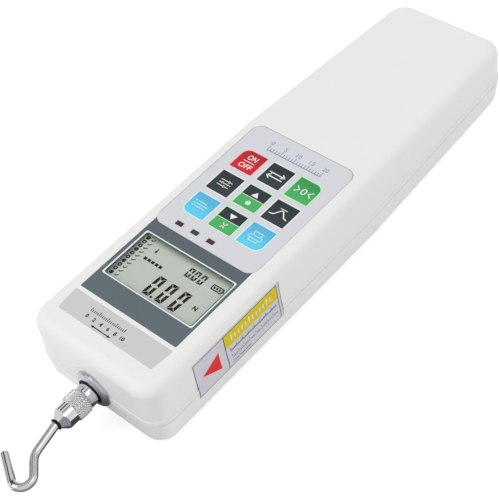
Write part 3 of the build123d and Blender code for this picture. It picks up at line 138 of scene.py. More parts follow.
def share_along(tree: Tree, place: Socket, axis: str, start: float, end: float, smooth: bool = False) -> Socket:
    """Share of the way from one station to another.

    Args:
        tree: the tree.
        place: Object coordinates.
        axis: letter of the axis.
        start: where the share is 0, in millimetres.
        end: where it is 1.
        smooth: in an S curve, not in a straight line.

    Returns:
        The share.
    """
    station = add_node(tree, "ShaderNodeSeparateXYZ", {0: place}).outputs[axis]
    return add_node(tree, "ShaderNodeMapRange", {"Value": station, "From Min": start * MM, "From Max": end * MM},
                    interpolation_type="SMOOTHSTEP" if smooth else "LINEAR").outputs[0]


@dataclass(frozen=True)
class Finish:
    """A surface finish: what the material is, its colour, and how its fine grain varies.

    The grain is one noise field in Object coordinates. It darkens and lightens the colour by shade_spread, moves the
    roughness by rough_spread, and raises the surface by bump_mm.
    """

    name: str
    colour: str
    roughness: float = 0.45
    metallic: float = 0.0
    ior: float = 1.5
    grain_mm: float = 0.8
    stretch: tuple[float, float, float] = (1.0, 1.0, 1.0)
    shade_spread: float = 0.03
    rough_spread: float = 0.06
    bump_mm: float = 0.004
    specular: float = 0.5

    def build(self) -> bpy.types.Material:
        """Makes the Blender material.

        Returns:
            The material.
        """
        material = bpy.data.materials.new(self.name)
        tree = empty_tree(material)
        shader = add_node(tree, "ShaderNodeBsdfPrincipled", {
            "Base Color": linear(self.colour), "Roughness": self.roughness, "Metallic": self.metallic,
            "IOR": self.ior, "Specular IOR Level": self.specular,
        })
        add_node(tree, "ShaderNodeOutputMaterial", {"Surface": shader.outputs["BSDF"]})
        self.dress(tree, shader, add_node(tree, "ShaderNodeTexCoord").outputs["Object"])
        return material

    def dress(self, tree: Tree, shader: Node, place: Socket) -> None:
        """Adds colour, roughness and relief to the shader.

        Args:
            tree: the material's tree.
            shader: its Principled shader.
            place: Object coordinates.
        """
        grain = self.grain(tree, place)
        self.shade(tree, shader, grain, self.base(tree, place))
        if self.bump_mm > 0:
            self.relief(tree, shader, grain)

    def base(self, tree: Tree, place: Socket) -> Socket | tuple[float, ...]:
        """The colour before the grain: one value, or in other finishes a socket.

        Args:
            tree: the material's tree.
            place: Object coordinates.

        Returns:
            The colour.
        """
        return linear(self.colour)[:3]

    def grain(self, tree: Tree, place: Socket) -> Socket:
        """The noise field of the grain.

        Args:
            tree: the material's tree.
            place: Object coordinates.

        Returns:
            The field, from 0 to 1.
        """
        spread = add_node(tree, "ShaderNodeMapping", {"Vector": place, "Scale": self.stretch})
        return add_node(tree, "ShaderNodeTexNoise", {
            "Vector": spread.outputs[0], "Scale": per_metre(self.grain_mm), "Detail": GRAIN_DETAIL,
            "Roughness": GRAIN_MIX,
        }).outputs["Fac"]

    def follow(self, tree: Tree, grain: Socket, low: float, high: float) -> Socket:
        """A value that follows the grain from low to high."""
        return add_node(tree, "ShaderNodeMapRange", {
            "Value": grain, "From Min": GRAIN_SPAN[0], "From Max": GRAIN_SPAN[1], "To Min": low, "To Max": high,
        }).outputs[0]

    def shade(self, tree: Tree, shader: Node, grain: Socket, colour: Socket | tuple[float, ...]) -> None:
        """Varies colour and roughness with the grain.

        Args:
            tree: the material's tree.
            shader: its Principled shader.
            grain: the noise field.
            colour: the colour before the grain.
        """
        level = self.follow(tree, grain, 1 - self.shade_spread, 1 + self.shade_spread)
        tint = add_node(tree, "ShaderNodeVectorMath", {0: colour, 1: level}, operation="MULTIPLY")
        tree.links.new(tint.outputs[0], shader.inputs["Base Color"])
        lowest = max(SMOOTHEST, self.roughness - self.rough_spread)
        rough = self.follow(tree, grain, lowest, self.roughness + self.rough_spread)
        tree.links.new(rough, shader.inputs["Roughness"])

    def relief(self, tree: Tree, shader: Node, height: Socket) -> None:
        """Bumps the surface by a height field."""
        bump = add_node(tree, "ShaderNodeBump", {"Height": height, "Distance": self.bump_mm * MM, "Strength": 1.0})
        tree.links.new(bump.outputs[0], shader.inputs["Normal"])


@dataclass(frozen=True)
class PrintWithPaintedShade(Finish):
    """A print whose colour runs along Y from colour, near, to far_colour, far; the darkening towards the far end is
    painted shade.
    """

    far_colour: str = "#000000"
    centre_y: float = 0.0
    reach: float = 5.4

    def base(self, tree: Tree, place: Socket) -> Socket:
        """Blend of the two colours along Y, painted shade towards the far end; arguments and result are as in Finish.
        """
        share = share_along(tree, place, "Y", self.centre_y - self.reach, self.centre_y + self.reach, smooth=True)
        stops = ((0.0, self.colour), (1.0, self.far_colour))
        return add_node(tree, "ShaderNodeValToRGB", {0: share}, stops).outputs[0]


# The split print below takes only the fields of this class: its two colours are printed halves, not painted shade.
@dataclass(frozen=True)
class SplitPrint(PrintWithPaintedShade):
    """A print in two colours with a pale line between: colour on the near half, far_colour on the far half."""

    line_colour: str = "#D8F0DC"
    line_mm: float = 0.3

    def base(self, tree: Tree, place: Socket) -> Socket:
        """Stepped colours along Y, near half, line, far half; arguments and result are as in Finish."""
        share = share_along(tree, place, "Y", self.centre_y - self.reach, self.centre_y + self.reach)
        half_line = self.line_mm / (4 * self.reach)
        stops = ((0.0, self.colour), (0.5 - half_line, self.line_colour), (0.5 + half_line, self.far_colour))
        ramp = add_node(tree, "ShaderNodeValToRGB", {0: share}, stops)
        ramp.color_ramp.interpolation = "CONSTANT"
        return ramp.outputs[0]


@dataclass(frozen=True)
class TurnedMetal(Finish):
    """Metal turned on a lathe: fine rings about the spindle axis."""

    ring_mm: float = 0.25
    ring_detail: float = 2.0

    def grain(self, tree: Tree, place: Socket) -> Socket:
        """Rings, the same all the way round: noise of the radius about the axis plus the station along it.

        The arguments and the result are as in Finish.
        """
        centred = add_node(tree, "ShaderNodeVectorMath", {0: place, 1: (0.0, 0.0, AXIS_HEIGHT * MM)},
                           operation="SUBTRACT")
        flat = add_node(tree, "ShaderNodeVectorMath", {0: centred.outputs[0], 1: (1.0, 0.0, 1.0)}, operation="MULTIPLY")
        radius = add_node(tree, "ShaderNodeVectorMath", {0: flat.outputs[0]}, operation="LENGTH")
        station = add_node(tree, "ShaderNodeSeparateXYZ", {0: place}).outputs["Y"]
        both = add_node(tree, "ShaderNodeMath", {0: radius.outputs["Value"], 1: station}, operation="ADD")
        return add_node(tree, "ShaderNodeTexNoise", {
            "W": both.outputs[0], "Scale": per_metre(self.ring_mm), "Detail": self.ring_detail,
        }, noise_dimensions="1D").outputs["Fac"]


@dataclass(frozen=True)
class LiquidCrystal(Finish):
    """Reflective display glass: grey-green, darker at its left and far edges by painted shade, the shade of the
    window's edge.
    """

    edge_colour: str = "#949E92"
    left: float = -22.6
    far: float = -57.3
    fade_mm: float = 3.0

    def base(self, tree: Tree, place: Socket) -> Socket:
        """Painted shade: colour by the product of two S curves from the two edges; arguments and result are as in
        Finish.
        """
        from_left = share_along(tree, place, "X", self.left, self.left + self.fade_mm, smooth=True)
        from_far = share_along(tree, place, "Y", self.far, self.far - self.fade_mm, smooth=True)
        clear = add_node(tree, "ShaderNodeMath", {0: from_left, 1: from_far}, operation="MULTIPLY")
        stops = ((0.0, self.edge_colour), (1.0, self.colour))
        return add_node(tree, "ShaderNodeValToRGB", {0: clear.outputs[0]}, stops).outputs[0]


@dataclass(frozen=True)
class ClearWindow(Finish):
    """A thin clear pane: mostly see-through, with its own gloss and a few faint wipe marks in the roughness."""

    opacity: float = 0.015

    def dress(self, tree: Tree, shader: Node, place: Socket) -> None:
        """Sets the see-through share, then the wipe marks; the arguments are as in Finish."""
        shader.inputs["Alpha"].default_value = self.opacity
        wipes = self.follow(tree, self.grain(tree, place), self.roughness, self.roughness + self.rough_spread)
        tree.links.new(wipes, shader.inputs["Roughness"])


@dataclass(frozen=True)
class SolderMask(Finish):
    """Lacquer on a printed board: raised tracks show through as lighter lines."""

    track_colour: str = "#2E7A4A"
    track_mm: float = 1.27
    track_share: float = 0.1
    run_share: float = 3.0

    def dress(self, tree: Tree, shader: Node, place: Socket) -> None:
        """Tracks from the joints of a brick pattern; the arguments are as in Finish."""
        plain = linear(self.colour)
        bricks = add_node(tree, "ShaderNodeTexBrick", {
            "Vector": place, "Color1": plain, "Color2": plain, "Mortar": linear(self.track_colour),
            "Scale": per_metre(self.track_mm), "Mortar Size": self.track_share, "Brick Width": self.run_share,
            "Row Height": 1.0,
        })
        self.shade(tree, shader, self.grain(tree, place), bricks.outputs["Color"])
        self.relief(tree, shader, bricks.outputs["Fac"])


@dataclass(frozen=True)
class Sleeve(Finish):
    """Shrink sleeve of a round cell, with a pale band near its terminal end."""

    band_colour: str = "#B8BDC2"
    band: Place = (62.0, 74.6)
    band_share: float = 0.02

    def base(self, tree: Tree, place: Socket) -> Socket:
        """Band from a station on, along Y; arguments and result are as in Finish."""
        stops = ((0.0, self.colour), (self.band_share, self.band_colour))
        ramp = add_node(tree, "ShaderNodeValToRGB", {0: share_along(tree, place, "Y", *self.band)}, stops)
        ramp.color_ramp.interpolation = "CONSTANT"
        return ramp.outputs[0]


@dataclass(frozen=True)
class Ink(Finish):
    """A screen or label ink: a thin even film with a fine grain."""

    grain_mm: float = 0.3
    bump_mm: float = 0.002


# ---------------------------------------------------------------- shapes

def rounded_loop(half: Place, radii: Sequence[float], centre: Place = (0.0, 0.0), steps: int = CORNER_STEPS) -> Points:
    """Outline of a rectangle with rounded corners: each corner is a quarter circle about a point inset by its radius.

    Args:
        half: half width and half depth.
        radii: corner radii, near left, near right, far right, far left.
        centre: middle of the rectangle.
        steps: points on each corner.

    Returns:
        Points in order, counter-clockwise.
    """
    signs = np.array([(-1, -1), (1, -1), (1, 1), (-1, 1)], float)
    start = np.array([math.pi, 1.5 * math.pi, 0.0, 0.5 * math.pi])
    angle = start[:, None] + np.linspace(0, math.pi / 2, steps)[None, :]
    radius = np.array(radii, float)[:, None]
    corner = signs * (np.array(half, float) - radius)
    x = corner[:, :1] + radius * np.cos(angle)
    y = corner[:, 1:] + radius * np.sin(angle)
    return np.stack([x.ravel(), y.ravel()], 1) + np.array(centre, float)


def box_corners(low: Place, high: Place) -> list[Place]:
    """Corners of an upright rectangle, counter-clockwise from its lowest left one."""
    return [(low[0], low[1]), (high[0], low[1]), (high[0], high[1]), (low[0], high[1])]


def flat_at(height: float) -> Surface:
    """A surface that lays flat marks at one height."""
    return lambda points: np.column_stack([points, np.full(len(points), height)])


def grid_faces(rows: int, columns: int, wrap_rows: bool = False, wrap_columns: bool = False) -> np.ndarray:
    """Quads of a grid whose points are numbered row by row.

    Args:
        rows: points in the first direction.
        columns: points in the second direction.
        wrap_rows: close the first direction.
        wrap_columns: close the second direction.

    Returns:
        Point numbers, four to a row.
    """
    i = np.arange(rows if wrap_rows else rows - 1)
    j = np.arange(columns if wrap_columns else columns - 1)
    a, b = np.meshgrid(i, j, indexing="ij")
    c, d = (a + 1) % rows, (b + 1) % columns
    return np.stack([a * columns + b, c * columns + b, c * columns + d, a * columns + d], -1).reshape(-1, 4)


def turned(profile: Points, around: int) -> tuple[Points, np.ndarray]:
    """Solid of a closed profile turned about the spindle axis: each point goes round a circle of its own radius.

    Args:
        profile: stations along Y and radii, so ordered that the faces point outwards.
        around: points on a circle.

    Returns:
        Points and faces.
    """
    angle = np.linspace(0, 2 * math.pi, around, endpoint=False)
    y, radius = profile[:, :1], profile[:, 1:]
    x, z = radius * np.cos(angle), AXIS_HEIGHT + radius * np.sin(angle)
    points = np.stack([x.ravel(), np.broadcast_to(y, x.shape).ravel(), z.ravel()], 1)
    return points, grid_faces(len(profile), around, wrap_rows=True, wrap_columns=True)


def place_object(name: str, data: bpy.types.ID, matrix: Matrix | None = None) -> bpy.types.Object:
    """Links an object to the scene.

    Args:
        name: the object's name.
        data: its mesh, curve, camera or lamp.
        matrix: its place, or None for the origin.

    Returns:
        The object.
    """
    thing = bpy.data.objects.new(name, data)
    if matrix is not None:
        thing.matrix_world = matrix
    bpy.context.scene.collection.objects.link(thing)
    return thing


def new_mesh(name: str, points: Sequence, faces: Sequence, material: bpy.types.Material) -> bpy.types.Mesh:
    """A mesh with one material.

    Args:
        name: the mesh's name.
        points: vertices in metres.
        faces: vertex numbers of each face.
        material: its finish.

    Returns:
        The mesh.
    """
    mesh = bpy.data.meshes.new(name)
    mesh.from_pydata(points, [], faces)
    mesh.materials.append(material)
    return mesh


def make_piece(name: str, points: Points, faces: list, body: str, material: bpy.types.Material,
               smooth: bool = False) -> bpy.types.Object:
    """Makes a mesh object in place and lets it ride on a body.

    Args:
        name: the piece's name.
        points: vertices in millimetres.
        faces: lists of vertex numbers.
        body: the CAD body that carries it.
        material: its finish.
        smooth: smooth shading.

    Returns:
        The object.
    """
    mesh = new_mesh(name, (points * MM).tolist(), [list(map(int, face)) for face in faces], material)
    mesh.polygons.foreach_set("use_smooth", np.full(len(mesh.polygons), smooth))
    mesh.update()
    piece = place_object(name, mesh)
    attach(piece, body)
    log.info("%s: %d faces on %s", name, len(mesh.polygons), body)
    return piece


class Segment(Enum):
    """The six bars of a display zero: ends as shares of its width and height, with its middle on their right."""

    TOP = ((0, 1), (1, 1))
    UPPER_RIGHT = ((1, 1), (1, 0.5))
    LOWER_RIGHT = ((1, 0.5), (1, 0))
    BOTTOM = ((1, 0), (0, 0))
    LOWER_LEFT = ((0, 0), (0, 0.5))
    UPPER_LEFT = ((0, 0.5), (0, 1))


@dataclass(frozen=True)
class Sign:
    """A flat mark about a centre, as the shapes that make it up.

    Attributes:
        lines: each a width and a path.
        dots: each a place and a radius.
        triangles: three corners each.
        boxes: each a place and two half sizes.
        frames: each a place, two half sizes, a corner radius, the band's width and its inner corner radius.
        words: each a text, a place, the height of a capital and the width of the line.
        slant: sideways shift of the words for each unit of height.
        weight: how much bolder the words are, as a share of their height.
    """

    lines: tuple[tuple[float, Path], ...] = ()
    dots: tuple[tuple[float, float, float], ...] = ()
    triangles: tuple[Path, ...] = ()
    boxes: tuple[tuple[float, float, float, float], ...] = ()
    frames: tuple[tuple[float, ...], ...] = ()
    words: tuple[tuple[str, float, float, float, float], ...] = ()
    slant: float = 0.0
    weight: float = 0.0


@dataclass(frozen=True)
class Scale:
    """A row of upright marks: foot of the first, distance to the last, count, plain and long height, width."""

    start: Place
    length: float
    count: int
    heights: Place
    width: float
    every: int = 5


@dataclass(frozen=True)
class Numbers:
    """A row of numbers from 0: X of the first and the last, Y of their middles, count, step, height and weight."""

    ends: Place
    middle: float
    count: int
    step: int
    size: float
    weight: float = 0.0


class Print:
    """Flat marks of one ink, gathered into one mesh. Shapes are in millimetres on the plane of the print."""

    def __init__(self) -> None:
        """Starts with nothing printed."""
        self.points: list[Points] = []
        self.faces: list[list[int]] = []
        self.count = 0

    def add(self, points: Points, faces: Sequence[Sequence[int]]) -> None:
        """Adds marks.

        Args:
            points: their corners.
            faces: numbers of the corners round each face, from 0.
        """
        self.faces += [[int(i) + self.count for i in face] for face in faces]
        self.points.append(np.asarray(points, float))
        self.count += len(points)

    def patch(self, corners: Sequence[Place], steps: int = 1) -> None:
        """Four-sided patch: a straight blend between its corners in both directions.

        Args:
            corners: four points in order.
            steps: faces along each direction.
        """
        a, b, c, d = (np.array(p, float) for p in corners)
        u, v = (t.ravel()[:, None] for t in np.meshgrid(*[np.linspace(0, 1, steps + 1)] * 2, indexing="ij"))
        self.add((1 - u) * ((1 - v) * a + v * d) + u * ((1 - v) * b + v * c), grid_faces(steps + 1, steps + 1))

    def triangle(self, corners: Sequence[Place], steps: int = 1) -> None:
        """Triangle, as a patch whose third corner is the middle of the side between its second and last points."""
        a, b, c = (np.array(p, float) for p in corners)
        self.patch((a, b, (b + c) / 2, c), steps)

    def disc(self, centre: Place, radius: float) -> None:
        """Round dot: a circle of points filled as one face."""
        angle = np.linspace(0, 2 * math.pi, DOT_POINTS, endpoint=False)
        self.fill(np.stack([np.cos(angle), np.sin(angle)], 1) * radius + np.array(centre))

    def ring(self, outer: Points, inner: Points) -> None:
        """Band between two closed outlines that have as many points as each other."""
        self.add(np.concatenate([outer, inner]), grid_faces(2, len(outer), wrap_columns=True)[:, ::-1])

    def fill(self, outline: Points) -> None:
        """One face inside an outline that bends only outwards."""
        self.add(outline, [range(len(outline))])

    def stroke(self, path: Sequence[Place], width: float, closed: bool = False, step: float = 0.0) -> None:
        """Line of even width: each path point moves half the width to both sides, along the mean normal there.

        Args:
            path: points of the line's middle.
            width: its width.
            closed: join the end to the start.
            step: longest distance between points, for a line that must follow a curved surface.
        """
        line = np.array(path, float)
        if step > 0:
            ends = np.vstack([line, line[:1]]) if closed else line
            length = np.concatenate([[0], np.cumsum(np.linalg.norm(np.diff(ends, axis=0), axis=1))])
            stations = np.unique(np.concatenate([length, np.arange(0, length[-1], step)]))
            line = np.stack([np.interp(stations, length, ends[:, k]) for k in (0, 1)], 1)
            line = line[:-1] if closed else line
        run = np.diff(np.vstack([line, line[:1]]) if closed else line, axis=0)
        run /= np.linalg.norm(run, axis=1)[:, None]
        before, after = (np.roll(run, 1, 0), run) if closed else (np.vstack([run[:1], run]), np.vstack([run, run[-1:]]))
        normal = np.stack([-(before + after)[:, 1], (before + after)[:, 0]], 1)
        normal /= np.linalg.norm(normal, axis=1)[:, None]
        square = np.stack([-after[:, 1], after[:, 0]], 1)
        mitre = 1 / np.clip((normal * square).sum(1), MITRE_LIMIT, 1)
        offset = normal * (width / 2 * mitre)[:, None]
        self.add(np.concatenate([line - offset, line + offset]),
                 grid_faces(2, len(line), wrap_columns=closed)[:, ::-1])

    def zero(self, corner: Place, size: Place, bar: float, slant: float = 0.08, gap: float = 0.1,
             middle_cut: float = 0.45) -> None:
        """Display zero: six bars along the edges of the digit's box, mitred at its corners and sheared.

        Args:
            corner: its near left corner.
            size: width and height of the box.
            bar: width of a bar.
            slant: sideways shift for each unit of height.
            gap: space left at each end of a bar, as a share of its width.
            middle_cut: slope of an end halfway up the digit, as a share of the width.
        """
        for segment in Segment:
            ends = np.array(segment.value, float)
            a, b = ends * np.array(size)
            run = (b - a) / np.linalg.norm(b - a)
            inward = np.array([run[1], -run[0]]) * bar
            start, end = (middle_cut * bar if share[1] == 0.5 else bar for share in ends)
            edge = gap * bar
            points = np.array([a + inward + run * (edge + start), b + inward - run * (edge + end),
                               b - run * edge, a + run * edge])
            points[:, 0] += slant * points[:, 1]
            self.add(points + np.array(corner), [range(4)])

    def lettering(self, text: str, centre: Place, height: float, width: float | None = None,
                  slant: float = 0.0, weight: float = 0.0) -> None:
        """Letters or numbers from Blender's own font, scaled to a height and, if given, to a width.

        Args:
            text: what it says.
            centre: middle of the line.
            height: height of a capital.
            width: width of the whole line.
            slant: sideways shift for each unit of height.
            weight: how much bolder, as a share of the height.
        """
        curve = bpy.data.curves.new("lettering", "FONT")
        curve.body = text
        curve.resolution_u = FONT_STEPS
        curve.offset = weight
        holder = place_object("lettering", curve)
        mesh = bpy.data.meshes.new_from_object(holder.evaluated_get(bpy.context.evaluated_depsgraph_get()))
        points = np.zeros(len(mesh.vertices) * 3)
        mesh.vertices.foreach_get("co", points)
        flat = points.reshape(-1, 3)[:, :2]
        faces = [list(polygon.vertices) for polygon in mesh.polygons]
        bpy.data.objects.remove(holder)
        bpy.data.curves.remove(curve)
        bpy.data.meshes.remove(mesh)
        low, high = flat.min(0), flat.max(0)
        scale = np.array([height / (high[1] - low[1])] * 2)
        if width:
            scale[0] = width / (high[0] - low[0])
        flat = (flat - (low + high) / 2) * scale
        flat[:, 0] += slant * flat[:, 1]
        self.add(flat + np.array(centre), faces)

    def numbers(self, row: Numbers) -> None:
        """Draws a row of evenly spaced numbers."""
        for index, x in enumerate(np.linspace(*row.ends, row.count)):
            self.lettering(str(index * row.step), (float(x), row.middle), row.size, weight=row.weight)

    def ticks(self, scale: Scale) -> None:
        """Draws a row of upright scale marks to the right of its start, each fifth longer.

        Args:
            scale: the row.
        """
        x0, foot = scale.start
        for index, x in enumerate(np.linspace(0, scale.length, scale.count)):
            height = scale.heights[0] if index % scale.every else scale.heights[1]
            self.stroke([(x0 + x, foot), (x0 + x, foot + height)], scale.width)

    def sign(self, sign: Sign, centre: Place = (0.0, 0.0)) -> None:
        """Draws a sign about a centre.

        Args:
            sign: its shapes.
            centre: where its origin goes.
        """
        x, y = centre
        for text, u, v, height, width in sign.words:
            self.lettering(text, (x + u, y + v), height, width, sign.slant, sign.weight)
        for u, v, half_x, half_y, radius, band, inner_radius in sign.frames:
            self.ring(rounded_loop((half_x, half_y), [radius] * 4, (x + u, y + v)),
                      rounded_loop((half_x - band, half_y - band), [inner_radius] * 4, (x + u, y + v)))
        for width, path in sign.lines:
            self.stroke([(x + u, y + v) for u, v in path], width)
        for u, v, radius in sign.dots:
            self.disc((x + u, y + v), radius)
        for corners in sign.triangles:
            self.triangle([(x + u, y + v) for u, v in corners])
        for u, v, half_x, half_y in sign.boxes:
            self.patch(box_corners((x + u - half_x, y + v - half_y), (x + u + half_x, y + v + half_y)))

    def piece(self, name: str, surface: Surface, body: str, material: bpy.types.Material,
              slot: str | None = None) -> bpy.types.Object:
        """Lays the marks on a surface as one piece.

        Args:
            name: the piece's name.
            surface: turns flat points into points in space.
            body: the CAD body that carries it.
            material: its ink.
            slot: the record's material slot, if it has one; not used.

        Returns:
            The object.
        """
        return make_piece(name, surface(np.concatenate(self.points)), self.faces, body, material)


# ---------------------------------------------------------------- finishes

@dataclass
class Finishes:
    """Every finish of the gauge, built once and shared."""

    made: dict[str, bpy.types.Material] = field(default_factory=dict)

    def get(self, finish: Finish) -> bpy.types.Material:
        """Finds the material of a finish, built the first time it is asked for.

        Args:
            finish: the finish.

        Returns:
            Its material.
        """
        if finish.name not in self.made:
            self.made[finish.name] = finish.build()
        return self.made[finish.name]


# Powder coat on cast aluminium: satin white, a faint orange peel of about a millimetre.
POWDER_COAT = Finish("powder_coat_white", "#EFEFED", roughness=0.42, grain_mm=1.1, shade_spread=0.006,
                     rough_spread=0.05, bump_mm=0.006)
# Polyester film printed silver grey from behind: fine sand texture, a soft sheen.
KEYPAD_FILM = Finish("polyester_film_silver_grey", "#DADBE0", roughness=0.38, grain_mm=0.35, shade_spread=0.02,
                     bump_mm=0.003)
# Surround, screen printed slate on polycarbonate: matt, fine speckle; its far end darker by painted shade.
SURROUND = PrintWithPaintedShade("polycarbonate_slate_print", "#606D74", roughness=0.5, grain_mm=0.35, shade_spread=0.08,
                      bump_mm=0.003, specular=0.25, far_colour="#5B666C", centre_y=-70.0, reach=21.0)
# Cast acrylic: clear, glossy, with faint wipe marks.
WINDOW = ClearWindow("acrylic_window_clear", "#C8CCCA", roughness=0.03, ior=1.49, grain_mm=4.0, rough_spread=0.05,
                     bump_mm=0.0)
# Display cell behind its polariser: matt grey-green with painted shade at its left and far edges, its marks nearly
# black.
DISPLAY_GLASS = LiquidCrystal("liquid_crystal_grey_green", "#C3C9C0", roughness=0.35, specular=0.2, grain_mm=0.6,
                              shade_spread=0.025, bump_mm=0.0)
DISPLAY_BLACK = Finish("liquid_crystal_dark_segment", "#0A0C0B", roughness=0.5, specular=0.1, grain_mm=0.4,
                       shade_spread=0.1, bump_mm=0.0)
# Screen inks on film and caps.
FRAME_INK = Ink("screen_ink_white", "#E6EDEE")
CAP_INK = Ink("screen_ink_cap_white", "#F4F2F0")
CAP_INK_BLUE = Ink("screen_ink_pale_blue", "#AEEBFB")
CAP_INK_GREEN = Ink("screen_ink_pale_green", "#D6FAD2")
SCALE_BLUE = Ink("screen_ink_blue", "#5E8FB4", shade_spread=0.08)
# Painted shadow: a grey line along the film's left and far edges stands for the shade at the film's edge; it is no ink.
FILM_EDGE_PAINTED_SHADOW = Ink("film_edge_shadow_grey", "#A3A3A5", roughness=0.5, grain_mm=0.5, shade_spread=0.06)
# Label papers and their inks: vinyl and metallised film, the inks dull and even.
STRIP_PAPER = Ink("silver_label_film", "#CFCFCF", roughness=0.4, shade_spread=0.02, bump_mm=0.003)
SIDE_PAPER = Ink("vinyl_label_lavender_grey", "#D3D0DA", shade_spread=0.015, bump_mm=0.003)
LABEL_BLACK = Ink("label_ink_black", "#0E1011", roughness=0.55, specular=0.2, shade_spread=0.1)
LABEL_SLATE = Ink("label_ink_slate", "#3C3C58", roughness=0.5, specular=0.2, shade_spread=0.1)
LABEL_YELLOW = Ink("label_ink_yellow", "#DCCA1E", roughness=0.5, specular=0.15, grain_mm=0.4, shade_spread=0.06)
LABEL_RED = Ink("label_ink_red", "#E02C30", roughness=0.5, specular=0.15, grain_mm=0.4, shade_spread=0.06)
LABEL_PALE = Ink("label_ink_pale", "#F2E9A8", roughness=0.42, grain_mm=0.4)
LABEL_PINK = Ink("label_ink_pink", "#F6C4C4", roughness=0.42, grain_mm=0.4)
# Anodised aluminium, turned: satin grey with fine rings.
ANODISED = TurnedMetal("anodised_aluminium_turned_grey", "#B8B8BF", roughness=0.3, metallic=0.9, ring_mm=0.3,
                       shade_spread=0.05, rough_spread=0.05, bump_mm=0.002)
# Stainless steel, ground and polished: near mirror, very fine rings.
POLISHED = TurnedMetal("stainless_steel_polished", "#CFCFD2", roughness=0.1, metallic=1.0, ring_mm=0.12,
                       shade_spread=0.02, rough_spread=0.04, bump_mm=0.0004)
KNURLED = TurnedMetal("stainless_steel_knurled", "#D2D2D4", roughness=0.12, metallic=1.0, ring_mm=0.2,
                      shade_spread=0.04, rough_spread=0.05, bump_mm=0.0006)
# Drawn and polished rod: fine scratches stretched along the rod's main run.
HOOK_STEEL = Finish("drawn_steel_rod_polished", "#C9C8C8", roughness=0.13, metallic=1.0, grain_mm=0.15,
                    stretch=(1.0, 0.08, 1.0), rough_spread=0.05, bump_mm=0.0005)
# Moulded nitrile rubber: dull black.
RUBBER = Finish("nitrile_rubber_black", "#080808", roughness=0.6, specular=0.2, grain_mm=0.2, shade_spread=0.1)
# Zinc plate on the screws, brass inserts; the cross recess in a screw's head is painted shadow, flat dark bars.
ZINC = Finish("zinc_plated_steel", "#A9ABAE", roughness=0.3, metallic=1.0, grain_mm=0.4, shade_spread=0.06,
              bump_mm=0.002)
SCREW_RECESS_PAINTED_SHADOW = Finish("screw_recess_shadow", "#2A2B2D", roughness=0.6, metallic=1.0, grain_mm=0.2, shade_spread=0.1,
                bump_mm=0.002)
BRASS = TurnedMetal("brass_turned", "#C9A45A", roughness=0.28, metallic=1.0, ring_mm=0.2, bump_mm=0.002)
# Layers under the keypad film: milky spacer, printed circuit, snap domes, tinted lamp lenses.
SPACER = Finish("polyester_sheet_milky", "#D9DCDC", roughness=0.4, grain_mm=0.6, bump_mm=0.002)
CIRCUIT = Finish("polyester_circuit_printed", "#8F9A90", shade_spread=0.12, bump_mm=0.003)
DOME = Finish("stainless_spring_sheet", "#B9BABC", roughness=0.22, metallic=1.0, grain_mm=0.4, bump_mm=0.001)
LAMP_RED = Finish("tinted_lens_dark_red", "#4C3236", roughness=0.3, grain_mm=0.5, shade_spread=0.12, bump_mm=0.003)
LAMP_GREEN = Finish("tinted_lens_dark_green", "#304A36", roughness=0.3, grain_mm=0.5, shade_spread=0.12,
                    bump_mm=0.003)
# Moulded plastics inside: fine spark texture.
WHITE_ABS = Finish("abs_moulded_white", "#E6E6E2", grain_mm=0.5, bump_mm=0.003)
BLACK_ABS = Finish("abs_moulded_black", "#1C1C1E", roughness=0.5, grain_mm=0.4, shade_spread=0.1, bump_mm=0.006)
# Boards and chips: lacquer over tracks, matt moulded epoxy.
BOARD = SolderMask("glass_epoxy_solder_mask_green", "#1C5C36", roughness=0.35, ior=1.55, bump_mm=0.02)
CHIP = Finish("epoxy_moulded_chip", "#1E1F21", roughness=0.55, grain_mm=0.25, shade_spread=0.12, bump_mm=0.006)
# Milled aluminium cell, its cutter marks drawn out along X; its cast and milled bracket.
CELL_ALLOY = Finish("aluminium_milled", "#C3C5C8", roughness=0.3, metallic=1.0, grain_mm=0.5,
                    stretch=(0.06, 1.0, 1.0), shade_spread=0.05, bump_mm=0.003)
BRACKET_ALLOY = Finish("aluminium_cast_and_milled", "#B4B6B9", roughness=0.42, metallic=1.0, grain_mm=0.7,
                       shade_spread=0.06, bump_mm=0.01)
# Round cells in a shrink sleeve, nickel plated contacts and socket shell.
CELL_SLEEVE = Sleeve("pvc_shrink_sleeve_blue", "#2C5F92", roughness=0.3, grain_mm=1.0, bump_mm=0.003)
CONTACT = Finish("nickel_plated_spring_steel", "#BFC0C0", roughness=0.25, metallic=1.0, grain_mm=0.4, bump_mm=0.001)
SOCKET_SHELL = Finish("nickel_plated_shell", "#AEB0B2", roughness=0.28, metallic=1.0, grain_mm=0.5, bump_mm=0.002)

NODES_BY_FINISH: dict[Finish, tuple[str, ...]] = {
    POWDER_COAT: ("front_housing", "rear_housing"),
    ZINC: ("housing_screws", "main_board_screws", "load_cell_screws", "end_board_screws"),
    BRASS: ("mounting_inserts",), KEYPAD_FILM: ("keypad_film",), SPACER: ("keypad_spacer",),
    CIRCUIT: ("keypad_circuit",), DOME: ("snap_domes",), LAMP_RED: ("lamp_windows_red",),
    LAMP_GREEN: ("lamp_window_green",), SURROUND: ("display_bezel",), WINDOW: ("display_lens",),
    DISPLAY_GLASS: ("lcd_panel",), WHITE_ABS: ("lcd_frame",), BOARD: ("main_board", "end_board"),
    CHIP: ("board_components",), CELL_ALLOY: ("load_cell",), BRACKET_ALLOY: ("load_cell_bracket",),
    ANODISED: ("nose_bushing", "bushing_nut"), POLISHED: ("measuring_spindle", "hook_nut"), RUBBER: ("hook_ring",),
    KNURLED: ("knurled_coupling",), HOOK_STEEL: ("hook",), CELL_SLEEVE: ("battery_cells",),
    BLACK_ABS: ("battery_tray", "battery_strap", "charge_socket"), CONTACT: ("battery_contacts",),
    SOCKET_SHELL: ("data_socket",),
}


